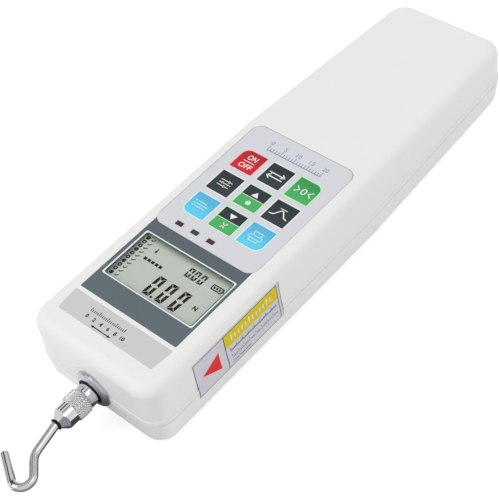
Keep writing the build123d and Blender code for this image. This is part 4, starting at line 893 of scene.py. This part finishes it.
def dress_node(name: str, finish: Finish, finishes: Finishes) -> None:
    """Gives a CAD node its finish.

    Args:
        name: the node.
        finish: what it is made of.
        finishes: the shared finishes.
    """
    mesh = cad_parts[name].data
    mesh.materials.clear()
    mesh.materials.append(finishes.get(finish))
    log.info("%s: %s", name, finish.name)


# ---------------------------------------------------------------- sub-assemblies

THIN, BOLD = 0.32, 0.5      # widths of the legends' lines


class Legend(Enum):
    """The sign that a key carries."""

    ON_OFF = Sign(words=(("ON", 0.4, 2.2, 2.6, 4.6), ("OFF", 0.3, -2.65, 2.6, 6.3)), slant=0.1, weight=0.01,
                  lines=((THIN, ((-2.6, -0.15), (3.1, -0.15))),))
    SWAP_ARROWS = Sign(lines=(
        (BOLD, ((-3.9, 0.85), (3.6, 0.85))), (BOLD, ((2.2, 2.1), (3.8, 0.85), (2.2, -0.1))),
        (BOLD, ((-3.6, -1.15), (3.9, -1.15))), (BOLD, ((-2.2, 0.1), (-3.8, -1.15), (-2.2, -2.4)))))
    ZERO = Sign(frames=((0.3, -0.4, 1.15, 1.65, 1.1, 0.53, 0.6),), lines=(
        (BOLD, ((-3.8, 1.2), (-2.0, -0.4), (-3.8, -2.0))), (BOLD, ((4.4, 1.2), (2.6, -0.4), (4.4, -2.0)))))
    SLIDERS = Sign(lines=tuple((THIN, ((-2.9, v), (2.9, v))) for v in (1.3, -0.2, -1.7)),
                   dots=((1.2, 1.3, 0.55), (-1.3, -0.2, 0.55), (0.5, -1.7, 0.55)))
    PEAK = Sign(lines=(
        (BOLD, ((-4.2, -1.9), (-2.4, -1.6), (-0.3, 1.5), (0.5, 1.5), (2.6, -1.2), (4.3, -1.7))),
        (THIN, ((-1.6, 2.35), (1.9, 2.35)))))
    LIST = Sign(lines=tuple((BOLD, ((-2.4, v), (end, v))) for v, end in ((1.5, 2.0), (0.1, 3.4), (-1.3, 2.8))),
                dots=((-3.4, 1.5, 0.4), (-3.4, 0.1, 0.4), (-3.4, -1.3, 0.4)))
    SHEET = Sign(frames=((0.0, -0.5, 3.2, 1.0, 0.3, 0.4, 0.1),), lines=(
        (BOLD, ((-1.9, 0.6), (-1.9, 2.2), (1.9, 2.2), (1.9, 0.6))),
        (BOLD, ((-1.9, -1.6), (-1.9, -2.6), (1.9, -2.6), (1.9, -1.6)))))
    UP = Sign(triangles=(((-1.6, 0.95), (1.9, 0.95), (0.15, 3.5)),))
    DOWN = Sign(triangles=(((1.9, 3.6), (-1.6, 3.6), (0.15, 1.1)),))


LOWER_MARKS = {     # on the green half of a split cap
    Legend.UP: Sign(dots=((0.2, -2.85, 1.15),)),
    Legend.DOWN: Sign(lines=((BOLD, ((-0.9, -4.1), (1.3, -1.5))), (BOLD, ((-0.8, -1.5), (1.0, -4.1))))),
}


class CapTone(Enum):
    """Colours of a cap: near colour, far colour (painted shade of the near colour, but on a split cap its printed far
    half), the pale halo round it on the film, and the legend's ink.
    """

    RED = ("#D82434", "#B6202C", "#F6CDD0", CAP_INK)
    SLATE = ("#353F45", "#2B353A", "#F0F3F6", CAP_INK)
    GREEN = ("#4FB368", "#399A54", "#B6FABE", CAP_INK_GREEN)
    BLUE = ("#66D2F4", "#5AB6DF", "#CBFAFF", CAP_INK_BLUE)
    SPLIT = ("#4FB368", "#2D373D", "#CCF8D4", CAP_INK)


@dataclass(frozen=True)
class Key:
    """One key: its node and body, its place in the grid, its colours and its legend."""

    name: str
    column: int
    row: int
    tone: CapTone
    legend: Legend


@dataclass
class Keypad:
    """Film, caps, halos and legends of the keypad."""

    finishes: Finishes
    pitch: Place = (14.4, 14.5)
    centre_y: float = -20.7
    cap: float = 10.8
    cap_radius: float = 0.8
    outer_radius: float = 3.2       # of the corner that a corner key has at the keypad's corner
    border_reach: Place = (0.02, 0.22)
    halo_reach: Place = (0.2, 0.78)
    sharp_radius: float = 0.3
    film_half: float = 25.75
    film_reach: Place = (-51.1, 13.25)
    film_radius: float = 4.35
    film_line: float = 0.24
    line_start: float = -47.1
    bend_steps: int = 10
    scale_base: Path = ((-13.0, 3.4), (14.6, 3.4))
    scale_base_width: float = 0.35
    scale: Scale = Scale((-12.85, 3.4), 27.3, 21, (1.6, 2.6), 0.3)
    scale_numbers: Numbers = Numbers((-12.85, 14.45), 7.6, 5, 5, 2.1)
    keys: tuple[Key, ...] = (
        Key("key_memory", -1, -1, CapTone.BLUE, Legend.LIST), Key("key_down", 0, -1, CapTone.SPLIT, Legend.DOWN),
        Key("key_print", 1, -1, CapTone.BLUE, Legend.SHEET), Key("key_set", -1, 0, CapTone.SLATE, Legend.SLIDERS),
        Key("key_up", 0, 0, CapTone.SPLIT, Legend.UP), Key("key_peak", 1, 0, CapTone.SLATE, Legend.PEAK),
        Key("key_on_off", -1, 1, CapTone.RED, Legend.ON_OFF),
        Key("key_unit", 0, 1, CapTone.SLATE, Legend.SWAP_ARROWS),
        Key("key_zero", 1, 1, CapTone.GREEN, Legend.ZERO),
    )

    def centre(self, key: Key) -> Place:
        """Middle of a key."""
        return key.column * self.pitch[0], self.centre_y + key.row * self.pitch[1]

    def outline(self, key: Key, growth: float, radius: float | None = None) -> Points:
        """Outline of a key grown on every side; a corner key's outer corner is rounder.

        Args:
            key: the key.
            growth: distance outwards from the edge of the cap.
            radius: radius of the plain corners, or None for that of the cap with the growth.

        Returns:
            Points in order.
        """
        corners = ((-1, -1), (1, -1), (1, 1), (-1, 1))
        plain = self.cap_radius + growth if radius is None else radius
        radii = [self.outer_radius + growth if corner == (key.column, key.row) else plain for corner in corners]
        half = self.cap / 2 + growth
        return rounded_loop((half, half), radii, self.centre(key))

    def cap_finish(self, key: Key) -> Finish:
        """Printed cap, a fine speckle in the ink, its colour darker away from the user by painted shade; a split cap's
        far half is printed slate.

        Args:
            key: the key.

        Returns:
            The finish of its cap.
        """
        near, far, *_ = key.tone.value
        kind = SplitPrint if key.tone is CapTone.SPLIT else PrintWithPaintedShade
        return kind(f"printed_cap_{key.name}", near, far_colour=far, grain_mm=0.35, specular=0.25, bump_mm=0.003,
                    shade_spread=0.09 if key.tone is CapTone.SLATE else 0.035,
                    centre_y=self.centre(key)[1], reach=self.cap / 2)

    def film_print(self, name: str, marks: Print, ink: Finish) -> None:
        """Lays marks on the film."""
        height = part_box("keypad_film")[1].z / MM + PRINT_LIFT
        marks.piece(name, flat_at(height), "housing", self.finishes.get(ink), "film")

    def cap_print(self, name: str, key: Key, sign: Sign, ink: Finish) -> None:
        """Lays a sign on a cap.

        Args:
            name: the piece's name.
            key: the key.
            sign: what is printed.
            ink: in which ink.
        """
        marks = Print()
        marks.sign(sign, self.centre(key))
        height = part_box("key_set")[1].z / MM + PRINT_LIFT
        marks.piece(name, flat_at(height), key.name, self.finishes.get(ink))

    def surround_key(self, key: Key) -> None:
        """Narrow border of the cap's own colour on the film, with sharp corners, and the pale halo outside it.

        Args:
            key: the key.
        """
        border, halo = Print(), Print()
        border.ring(self.outline(key, self.border_reach[1], self.sharp_radius), self.outline(key, self.border_reach[0]))
        self.film_print(f"border_{key.name}", border, self.cap_finish(key))
        halo.ring(self.outline(key, self.halo_reach[1]), self.outline(key, self.halo_reach[0], self.sharp_radius))
        tint = Ink(f"screen_ink_halo_{key.tone.name.lower()}", key.tone.value[2], roughness=0.4, shade_spread=0.02)
        self.film_print(f"halo_{key.name}", halo, tint)

    def film_edge(self) -> None:
        """Painted shadow: a fine grey line inside the left and far edges of the film, where its edge lies in shade."""
        near, far = self.film_reach
        bend = rounded_loop((self.film_half, (far - near) / 2), [self.film_radius] * 4, (0.0, (near + far) / 2),
                            self.bend_steps)
        line = Print()
        line.stroke([(-self.film_half, self.line_start), *bend[2 * self.bend_steps:][::-1]], self.film_line)
        self.film_print("film_edge_line", line, FILM_EDGE_PAINTED_SHADOW)

    def film_scale(self) -> None:
        """A plain blue rule with numbers across the far end of the film."""
        rule = Print()
        rule.stroke(self.scale_base, self.scale_base_width)
        rule.ticks(self.scale)
        rule.numbers(self.scale_numbers)
        self.film_print("film_scale", rule, SCALE_BLUE)

    def build(self) -> None:
        """Dresses every cap and prints the halos and legends."""
        for key in self.keys:
            dress_node(key.name, self.cap_finish(key), self.finishes)
            self.surround_key(key)
            self.cap_print(f"legend_{key.name}", key, key.legend.value, key.tone.value[3])
            if key.legend in LOWER_MARKS:
                self.cap_print(f"lower_mark_{key.name}", key, LOWER_MARKS[key.legend], CAP_INK_GREEN)
        self.film_edge()
        self.film_scale()


@dataclass(frozen=True)
class Reading:
    """A row of display zeros with its decimal point."""

    name: str
    size: Place
    bar: float
    foot: float
    places: tuple[float, ...]
    point: tuple[float, float, float]


@dataclass
class Display:
    """Frame line of the surround and the marks of the liquid crystal."""

    finishes: Finishes
    line_outer: tuple[Place, float, Place] = ((23.5, 12.8), 0.8, (0.15, -69.45))        # half sizes, radius, centre
    line_inner: tuple[Place, float, Place] = ((22.85, 12.25), 1.2, (0.25, -69.45))
    readings: tuple[Reading, ...] = (
        Reading("lcd_reading", (3.75, 10.1), 1.4, -79.95, (-4.7, 1.75, 8.35), (0.1, -79.5, 0.55)),
        Reading("lcd_second_reading", (2.35, 4.9), 0.85, -64.7, (3.0, 6.1, 9.3), (5.75, -64.5, 0.28)),
    )
    symbols: Sign = Sign(
        frames=((18.3, -62.2, 2.65, 1.35, 0.35, 0.5, 0.1),),
        boxes=(*((x, -62.2, 0.42, 0.55) for x in (16.9, 18.2, 19.5)), (21.175, -62.2, 0.225, 0.5),
               *((x, -66.9, 0.75, 0.7) for x in (-14.9, -12.9, -10.9, -8.9, -6.9))),
        words=(("N", 17.6, -73.9, 2.1, 1.9),), weight=0.045,
        lines=((0.5, ((-13.6, -60.5), (-13.6, -62.6))),),
        triangles=(((-14.2, -61.9), (-13.6, -63.3), (-13.0, -61.9)),),
    )
    channel: Sign = Sign(frames=((0.0, 0.0, 0.95, 0.95, 0.95, 0.61, 0.34),),
                         lines=((0.45, ((1.9, 0.0), (2.4, -0.4), (3.5, 0.6))),))
    channel_places: tuple[Place, ...] = tuple((-21.1, -58.7 - 2.3 * index) for index in range(10))
    dotted_every: int = 3
    channel_dot: float = 0.3

    def frame_line(self) -> None:
        """White line round the window: the band between two rounded outlines."""
        outer, inner = (rounded_loop(half, [radius] * 4, centre)
                        for half, radius, centre in (self.line_outer, self.line_inner))
        line = Print()
        line.ring(outer, inner)
        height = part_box("display_bezel")[1].z / MM + PRINT_LIFT
        line.piece("display_frame_line", flat_at(height), "housing", self.finishes.get(FRAME_INK), "surround")

    def glass_print(self, name: str, marks: Print) -> None:
        """Lays dark marks just above the display glass."""
        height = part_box("lcd_panel")[1].z / MM + PRINT_LIFT
        marks.piece(name, flat_at(height), "housing", self.finishes.get(DISPLAY_BLACK), "lcd")

    def build(self) -> None:
        """Prints the frame line, the readings, the symbols and the column of channels."""
        self.frame_line()
        for reading in self.readings:
            marks = Print()
            for x in reading.places:
                marks.zero((x, reading.foot), reading.size, reading.bar)
            marks.disc(reading.point[:2], reading.point[2])
            self.glass_print(reading.name, marks)
        symbols, column = Print(), Print()
        symbols.sign(self.symbols)
        self.glass_print("lcd_symbols", symbols)
        for index, place in enumerate(self.channel_places):
            column.sign(self.channel, place)
            if index % self.dotted_every == 0:
                column.disc(place, self.channel_dot)
        self.glass_print("lcd_channel_column", column)


@dataclass
class Labels:
    """The strip label on the face and the wrapped label on the right-hand side."""

    finishes: Finishes
    strip_half: float = 24.4
    strip_reach: Place = (-104.2, -93.7)
    strip_radius: float = 0.5
    strip_flare: float = 0.04
    range_arrow: Sign = Sign(lines=((0.42, ((-3.8, 0.0), (3.8, 0.0))),), triangles=(
        ((-5.1, 0.0), (-3.6, -0.6), (-3.6, 0.6)), ((5.1, 0.0), (3.6, 0.6), (3.6, -0.6))))
    arrow_centre: Place = (-2.8, -103.0)
    strip_scale: Scale = Scale((-12.8, -98.3), 17.4, 21, (1.1, 1.8), 0.34)
    strip_numbers: Numbers = Numbers((-12.2, 6.2), -100.6, 6, 2, 1.8, 0.04)
    paper_reach: Place = (-92.7, -44.3)
    paper_heights: Place = (11.2, 31.3)
    paper_stations: int = 3
    wall: tuple[Place, ...] = ((11.2, 32.7), (14.3, 33.0), (16.7, 32.975), (20.5, 32.58), (31.3, 32.46))
    paper_lift: float = PRINT_LIFT
    ink_lift: float = 0.03
    top_ink_lift: float = 0.042
    bend_step: float = 1.0          # longest straight run of a line on the wall
    border: tuple[Place, Place] = ((-92.4, 11.6), (-45.95, 30.4))
    border_width: float = 0.3
    upright_lines: tuple[tuple[float, Path], ...] = (
        (0.22, ((-44.5, 12.0), (-44.5, 31.0))), (0.35, ((-76.0, 11.6), (-76.0, 30.4))))
    band: tuple[Place, Place] = ((-75.8, 22.9), (-46.1, 30.2))
    band_steps: int = 6
    band_scale: Scale = Scale((-72.0, 25.0), 22.0, 12, (2.4, 3.6), 0.7)
    row_scales: tuple[Scale, ...] = tuple(
        Scale((-73.6, height), length, count, (1.0, 1.8), 0.34)
        for height, count, length in ((19.6, 40, 26.0), (16.1, 40, 26.0), (13.2, 16, 10.0)))
    arrow_steps: int = 8
    arrow: Path = ((-89.1, 20.6), (-79.6, 16.0), (-79.6, 25.2))
    arrow_edge: Path = ((-90.0, 20.6), (-79.2, 15.4), (-79.2, 25.8))

    def on_wall(self, lift: float) -> Surface:
        """Surface of the right-hand wall at rest: X by interpolation over the height, plus a lift.

        Args:
            lift: distance outwards.

        Returns:
            Turns (Y, Z) points into space.
        """
        heights, faces = np.array(self.wall).T

        def lay(points: Points) -> Points:
            """Places (Y, Z) points on the wall."""
            return np.column_stack([np.interp(points[:, 1], heights, faces) + lift, points])

        return lay

    def strip(self) -> None:
        """Silver strip with a plain rule, numbers and a range arrow; its far half is a little wider."""
        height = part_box("front_housing")[1].z / MM + PRINT_LIFT
        near, far = self.strip_reach
        paper, marks = Print(), Print()
        outline = rounded_loop((self.strip_half, (far - near) / 2), [self.strip_radius] * 4, (0.0, (near + far) / 2))
        outline[:, 0] *= 1 + self.strip_flare * (outline[:, 1] > (near + far) / 2)
        paper.fill(outline)
        paper.piece("strip_label", flat_at(height), "housing", self.finishes.get(STRIP_PAPER))
        marks.ticks(self.strip_scale)
        marks.numbers(self.strip_numbers)
        marks.sign(self.range_arrow, self.arrow_centre)
        marks.piece("strip_label_marks", flat_at(height + PRINT_LIFT), "housing", self.finishes.get(LABEL_BLACK))

    def wall_print(self, name: str, marks: Print, lift: float, ink: Finish) -> None:
        """Lays marks on the right-hand wall."""
        marks.piece(name, self.on_wall(lift), "housing", self.finishes.get(ink))

    def side(self) -> None:
        """Label wrapped over the joint: paper, border, red arrow towards the hook, yellow band, tick rows."""
        paper, lines, band, pale, edge, arrow, rows = (Print() for _ in range(7))
        heights = sorted({*self.paper_heights, *(z for z, _ in self.wall)})
        y, z = np.meshgrid(np.linspace(*self.paper_reach, self.paper_stations), heights, indexing="ij")
        paper.add(np.stack([y.ravel(), z.ravel()], 1), grid_faces(self.paper_stations, len(heights)))
        self.wall_print("side_label", paper, self.paper_lift, SIDE_PAPER)
        lines.stroke(box_corners(*self.border), self.border_width, closed=True, step=self.bend_step)
        for width, path in self.upright_lines:
            lines.stroke(path, width, step=self.bend_step)
        self.wall_print("side_label_border", lines, self.ink_lift, LABEL_BLACK)
        band.patch(box_corners(*self.band), self.band_steps)
        self.wall_print("side_label_band", band, self.ink_lift, LABEL_YELLOW)
        pale.ticks(self.band_scale)
        self.wall_print("side_label_band_marks", pale, self.top_ink_lift, LABEL_PALE)
        edge.triangle(self.arrow_edge, self.arrow_steps)
        self.wall_print("side_label_arrow_edge", edge, self.ink_lift, LABEL_PINK)
        arrow.triangle(self.arrow, self.arrow_steps)
        self.wall_print("side_label_arrow", arrow, self.top_ink_lift, LABEL_RED)
        for scale in self.row_scales:
            rows.ticks(scale)
        self.wall_print("side_label_rows", rows, self.ink_lift, LABEL_SLATE)

    def build(self) -> None:
        """Makes both labels."""
        self.strip()
        self.side()


@dataclass
class KnurledSleeve:
    """The coupling with its diamond knurl, which stands for the plain CAD sleeve."""

    finishes: Finishes
    far_end: float = -120.5
    near_end: float = -127.2
    radius: float = 5.4
    far_chamfer: float = 0.9
    near_chamfer: float = 0.65
    chamfer_power: float = 1.6
    thread_radius: float = 3.0
    cavity: Place = (-123.8, 3.6)
    mouth: Place = (-126.15, 4.5)
    ridges: int = 28
    depth: float = 0.42
    fade: float = 0.75              # share of the depth that is gone at both ends
    fade_power: float = 3.0
    around: int = 336
    stations: int = 72

    def profile(self) -> tuple[Points, Points, Points]:
        """Closed profile: the bore, the far face, the knurled run and the mouth.

        The run is a barrel: the radius falls at both ends by the chamfer times a power of the way into it.

        Returns:
            Stations along Y, radii, and the share of the knurl's depth at each.
        """
        run = np.linspace(self.far_end, self.near_end, self.stations)
        into_far = np.clip(1 - (self.far_end - run) / self.far_chamfer, 0, 1)
        into_near = np.clip(1 - (run - self.near_end) / self.near_chamfer, 0, 1)
        fall = self.far_chamfer * into_far ** self.chamfer_power + self.near_chamfer * into_near ** self.chamfer_power
        share = 1 - self.fade * np.maximum(into_far, into_near) ** self.fade_power
        (cavity, bore), (mouth, wide) = self.cavity, self.mouth
        stations = np.concatenate([[cavity, self.far_end], run, [self.near_end, mouth, mouth, cavity]])
        radii = np.concatenate([[self.thread_radius] * 2, self.radius - fall, [wide, wide, bore, bore]])
        return stations, radii, np.concatenate([[0, 0], share, [0, 0, 0, 0]])

    def build(self) -> None:
        """Turns the profile round the axis and presses the knurl into it.

        The knurl is two sets of helical ridges, one each way round: the height at a point is the lower of two
        triangle waves, one of angle plus distance and one of angle minus distance, so pyramids stand between them.
        """
        stations, radii, share = self.profile()
        angle = np.linspace(0, 2 * math.pi, self.around, endpoint=False)
        turn = angle[None, :] * self.ridges / (2 * math.pi)
        shift = (stations * self.ridges / (2 * math.pi * self.radius))[:, None]
        wave_a, wave_b = (1 - np.abs((way % 1) * 2 - 1) for way in (turn + shift, turn - shift))
        radius = radii[:, None] - self.depth * share[:, None] * (1 - np.minimum(wave_a, wave_b))
        x, z = radius * np.cos(angle), AXIS_HEIGHT + radius * np.sin(angle)
        points = np.stack([x.ravel(), np.broadcast_to(stations[:, None], x.shape).ravel(), z.ravel()], 1)
        faces = grid_faces(len(stations), self.around, wrap_rows=True, wrap_columns=True)
        sleeve = make_piece("knurled_sleeve", points, faces, "coupling", self.finishes.get(KNURLED))
        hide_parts("knurled_coupling")


@dataclass
class Nose:
    """Face of the nose bushing, the coated ring round it and the rubber wiper in its mouth."""

    finishes: Finishes
    seat: float = -114.2
    wall: float = -115.0
    upper_wall: float = -114.65
    band: Place = (14.3, 16.7)
    drafts: Place = (5.6, 0.65)
    rim_radius: float = 8.35
    rim_station: float = -115.1
    edge: float = 0.55
    crown: float = -116.9
    bulge: Place = (0.9, 1.1)       # powers that flatten the quarter ellipse of the face
    mouth_radius: float = 5.5
    mouth_end: float = -112.5
    body_radius: float = 7.0
    body_end: float = -107.5
    guide_radius: float = 4.85
    seat_radius: float = 10.02
    wiper: Place = (-116.75, 0.5)
    sharp_angle: float = 40.0
    face_steps: int = 14
    ring_steps: int = 4
    wiper_steps: int = 12
    around: tuple[int, int, int] = (96, 144, 72)        # bushing, ring, wiper

    def bushing(self) -> None:
        """Bushing turned from one profile.

        From the mouth a quarter ellipse bulges out to the rim, then a straight edge runs back to the seat.
        """
        turn = np.linspace(0, math.pi / 2, self.face_steps)
        reach, height = self.rim_radius - self.mouth_radius, self.rim_station - self.crown
        face = np.stack([self.rim_station - height * np.cos(turn) ** self.bulge[0],
                         self.mouth_radius + reach * np.sin(turn) ** self.bulge[1]], 1)
        rest = np.array([(self.rim_station + self.edge, self.rim_radius), (self.seat, self.rim_radius),
                         (self.seat, self.body_radius), (self.body_end, self.body_radius),
                         (self.body_end, self.guide_radius), (self.mouth_end, self.guide_radius),
                         (self.mouth_end, self.mouth_radius)])
        points, faces = turned(np.concatenate([face, rest])[::-1], self.around[0])
        piece = make_piece("nose_bushing_face", points, faces, "housing", self.finishes.get(ANODISED),
                           smooth=True)
        piece.data.set_sharp_from_angle(angle=math.radians(self.sharp_angle))
        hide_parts("nose_bushing")

    def wall_at(self, height: Points) -> Points:
        """Station of the near wall: drafted below the joint band, upright on it, stepped in and drafted above.

        Args:
            height: heights of the points.

        Returns:
            Their stations along Y.
        """
        low, high = self.band
        below = self.wall + np.tan(math.radians(self.drafts[0])) * (low - height)
        above = self.upper_wall + np.tan(math.radians(self.drafts[1])) * (height - high)
        return np.where(height < low, below, np.where(height <= high, self.wall, above))

    def coated_ring(self) -> None:
        """Ring between the rim and the housing, flush with its wall: radius times angle, laid on the wall."""
        steps, around = self.ring_steps, self.around[1]
        r, a = np.meshgrid(np.linspace(self.rim_radius, self.seat_radius, steps),
                           np.linspace(0, 2 * math.pi, around, endpoint=False), indexing="ij")
        x, z = r * np.cos(a), AXIS_HEIGHT + r * np.sin(a)
        front = np.stack([x.ravel(), self.wall_at(z).ravel(), z.ravel()], 1)
        back = front.copy()
        back[:, 1] = self.seat
        count = len(front)
        faces = grid_faces(steps, around, wrap_columns=True)
        inner, outer = (np.stack([ring, np.roll(ring, -1), np.roll(ring, -1) + count, ring + count], 1)
                        for ring in (np.arange(around), np.arange(around) + (steps - 1) * around))
        whole = np.concatenate([faces[:, ::-1], faces + count, inner[:, ::-1], outer])
        make_piece("nose_ring", np.concatenate([front, back]), whole, "housing", self.finishes.get(POWDER_COAT))

    def wiper_ring(self) -> None:
        """Rubber lip round the spindle: a circle carried round the axis."""
        station, small = self.wiper
        turn = np.linspace(0, 2 * math.pi, self.wiper_steps, endpoint=False)
        profile = np.stack([station + small * np.cos(turn), self.guide_radius + small + small * np.sin(turn)], 1)
        points, faces = turned(profile, self.around[2])
        make_piece("nose_wiper", points, faces, "housing", self.finishes.get(RUBBER), smooth=True)

    def build(self) -> None:
        """Makes the bushing, the ring and the wiper."""
        self.bushing()
        self.coated_ring()
        self.wiper_ring()


@dataclass
class BackScrews:
    """Painted shadow of the cross recesses in the heads of the six housing screws: flat dark bars, no hollow."""

    finishes: Finishes
    head_face: float = 5.8
    places: tuple[Place, ...] = ((24.0, -106.0), (24.5, 15.0), (23.5, 84.0))
    arm: float = 1.5
    width: float = 0.55

    def build(self) -> None:
        """Two crossed dark bars on each head, seen from the back: painted shadow of the recess."""
        marks = Print()
        for x, y in [(side * x, y) for x, y in self.places for side in (-1, 1)]:
            marks.stroke([(x - self.arm, y), (x + self.arm, y)], self.width)
            marks.stroke([(x, y - self.arm), (x, y + self.arm)], self.width)
        marks.piece("screw_recesses", flat_at(self.head_face - PRINT_LIFT), "housing", self.finishes.get(SCREW_RECESS_PAINTED_SHADOW),
                    "screw_steel")


@dataclass(frozen=True)
class Card:
    """A glowing grey sheet that only polished surfaces see, a painted reflection and no lamp: one corner and two edges,
    in metres, and a colour.
    """

    name: str
    corner: tuple[float, float, float]
    first: tuple[float, float, float]
    second: tuple[float, float, float]
    colour: str


@dataclass(frozen=True)
class Lamp:
    """A square soft lamp: place and side in metres, power in watts."""

    name: str
    place: tuple[float, float, float]
    size: float
    power: float


@dataclass
class Studio:
    """Camera, floor, world, lamps and cards."""

    camera_place: tuple[float, float, float] = (252.404, -248.860, 391.398)
    forward: tuple[float, float, float] = (-0.496994, 0.437391, -0.749457)
    up: tuple[float, float, float] = (-0.434821, 0.621894, 0.651290)
    lens: float = 90.131
    sensor: float = 36.0
    clip: Place = (0.01, 20.0)
    floor_half: float = 4.0
    floor_colour: str = "#E4E4E4"
    floor_glow: float = 0.5
    world_light: float = 0.775
    lamp_aim: tuple[float, float, float] = (0.0, -0.02, 0.02)
    lamps: tuple[Lamp, ...] = (Lamp("key_lamp", (-0.45, -0.72, 0.85), 0.7, 2.7),
                               Lamp("side_lamp", (0.5, 0.35, 1.05), 0.6, 1.15))
    # Painted reflections: glowing grey sheets overhead, in front and on the floor by the nose put dark streaks into the
    # polished metal.
    cards: tuple[Card, ...] = (
        Card("card_overhead_0", (-0.95, -0.9, 0.25), (0.198, 0.0, 0.176), (0.0, 1.8, 0.0), "#4E4E50"),
        Card("card_overhead_1", (-0.572, -0.9, 0.586), (0.162, 0.0, 0.144), (0.0, 1.8, 0.0), "#4E4E50"),
        Card("card_overhead_2", (-0.176, -0.9, 0.938), (0.126, 0.0, 0.112), (0.0, 1.8, 0.0), "#4E4E50"),
        Card("card_under_nut", (-0.004, -0.3, 0.0006), (0.304, 0.0, 0.0), (0.0, 0.164, 0.0), "#A6A5AE"),
        Card("card_under_flange", (-0.004, -0.136, 0.0006), (0.304, 0.0, 0.0), (0.0, 0.0235, 0.0), "#505056"),
        Card("card_front", (-0.6, -1.1, 0.0), (0.85, 0.0, 0.0), (0.0, 0.0, 0.16), "#3A3A3C"),
    )

    def camera(self) -> None:
        """Places the camera by its forward and up directions."""
        forward, up = Vector(self.forward).normalized(), Vector(self.up).normalized()
        right = forward.cross(up).normalized()
        data = bpy.data.cameras.new("camera")
        data.lens, data.sensor_width = self.lens, self.sensor
        data.clip_start, data.clip_end = self.clip
        turn = Matrix((right, right.cross(forward), -forward)).transposed().to_4x4()
        place = Matrix.Translation(Vector(self.camera_place) * MM)
        bpy.context.scene.camera = place_object("camera", data, place @ turn)

    def seen(self, tree: Tree) -> Socket:
        """Tells what the camera sees from what only lights the gauge.

        Args:
            tree: the tree.

        Returns:
            1 for what the camera sees straight, mirrored or through glass, 0 for light on surfaces.
        """
        path = add_node(tree, "ShaderNodeLightPath").outputs
        first = add_node(tree, "ShaderNodeMath", {0: path["Is Camera Ray"], 1: path["Is Glossy Ray"]},
                         operation="MAXIMUM")
        return add_node(tree, "ShaderNodeMath", {0: first.outputs[0], 1: path["Is Transmission Ray"]},
                        operation="MAXIMUM").outputs[0]

    def world(self) -> None:
        """Even white light; seen directly the world is plain white."""
        world = bpy.data.worlds.new("studio")
        bpy.context.scene.world = world
        tree = empty_tree(world)
        strength = add_node(tree, "ShaderNodeMapRange", {
            "Value": self.seen(tree), "To Min": self.world_light, "To Max": 1.0})
        background = add_node(tree, "ShaderNodeBackground", {
            "Color": (1.0, 1.0, 1.0, 1.0), "Strength": strength.outputs[0]})
        add_node(tree, "ShaderNodeOutputWorld", {"Surface": background.outputs[0]})

    def panel(self, name: str, corners: Sequence, material: bpy.types.Material) -> bpy.types.Object:
        """A flat sheet of the studio.

        Args:
            name: the sheet's name.
            corners: its four corners, in metres.
            material: its finish.

        Returns:
            The sheet.
        """
        sheet = place_object(name, new_mesh(name, corners, [(0, 1, 2, 3)], material))
        return sheet

    def floor(self) -> None:
        """Wide pale floor; a faint glow, only where it is seen, brings it to white and leaves the shadow."""
        material = bpy.data.materials.new("floor_paper_white")
        tree = empty_tree(material)
        paper = add_node(tree, "ShaderNodeBsdfDiffuse", {"Color": linear(self.floor_colour)})
        strength = add_node(tree, "ShaderNodeMath", {0: self.seen(tree), 1: self.floor_glow}, operation="MULTIPLY")
        glow = add_node(tree, "ShaderNodeEmission", {
            "Color": (1.0, 1.0, 1.0, 1.0), "Strength": strength.outputs[0]})
        both = add_node(tree, "ShaderNodeAddShader", {0: paper.outputs[0], 1: glow.outputs[0]})
        add_node(tree, "ShaderNodeOutputMaterial", {"Surface": both.outputs[0]})
        half = self.floor_half
        self.panel("floor", [(x, y, 0.0) for x, y in box_corners((-half, -half), (half, half))], material)

    def hang(self, lamp: Lamp) -> None:
        """Hangs a lamp and aims it at the middle of the gauge.

        Args:
            lamp: the lamp.
        """
        data = bpy.data.lights.new(lamp.name, "AREA")
        data.size, data.energy = lamp.size, lamp.power
        turn = (Vector(self.lamp_aim) - Vector(lamp.place)).to_track_quat("-Z", "Y").to_matrix().to_4x4()
        place_object(lamp.name, data, Matrix.Translation(Vector(lamp.place)) @ turn)

    def stand(self, card: Card) -> None:
        """Stands a card beside the gauge, unseen but in polished surfaces, where its glow is a painted reflection.

        Args:
            card: the card.
        """
        material = bpy.data.materials.new(card.name)
        tree = empty_tree(material)
        glow = add_node(tree, "ShaderNodeEmission", {"Color": linear(card.colour), "Strength": 1.0})
        add_node(tree, "ShaderNodeOutputMaterial", {"Surface": glow.outputs[0]})
        corner, first, second = (Vector(side) for side in (card.corner, card.first, card.second))
        sheet = self.panel(card.name, [corner, corner + first, corner + first + second, corner + second], material)
        sheet.visible_camera = sheet.visible_diffuse = sheet.visible_shadow = sheet.visible_transmission = False

    def build(self) -> None:
        """Makes the whole studio."""
        self.camera()
        self.world()
        self.floor()
        for lamp in self.lamps:
            self.hang(lamp)
        for card in self.cards:
            self.stand(card)
        bpy.context.scene.view_settings.view_transform = "Standard"


def main() -> None:
    """Dresses the gauge."""
    logging.basicConfig(level=logging.INFO, format="%(message)s")
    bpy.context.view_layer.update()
    finishes = Finishes()
    Studio().build()
    for finish, names in NODES_BY_FINISH.items():
        for name in names:
            dress_node(name, finish, finishes)
    for kind in (Keypad, Display, Labels, Nose, KnurledSleeve, BackScrews):
        kind(finishes).build()


if __name__ == "__main__":
    main()
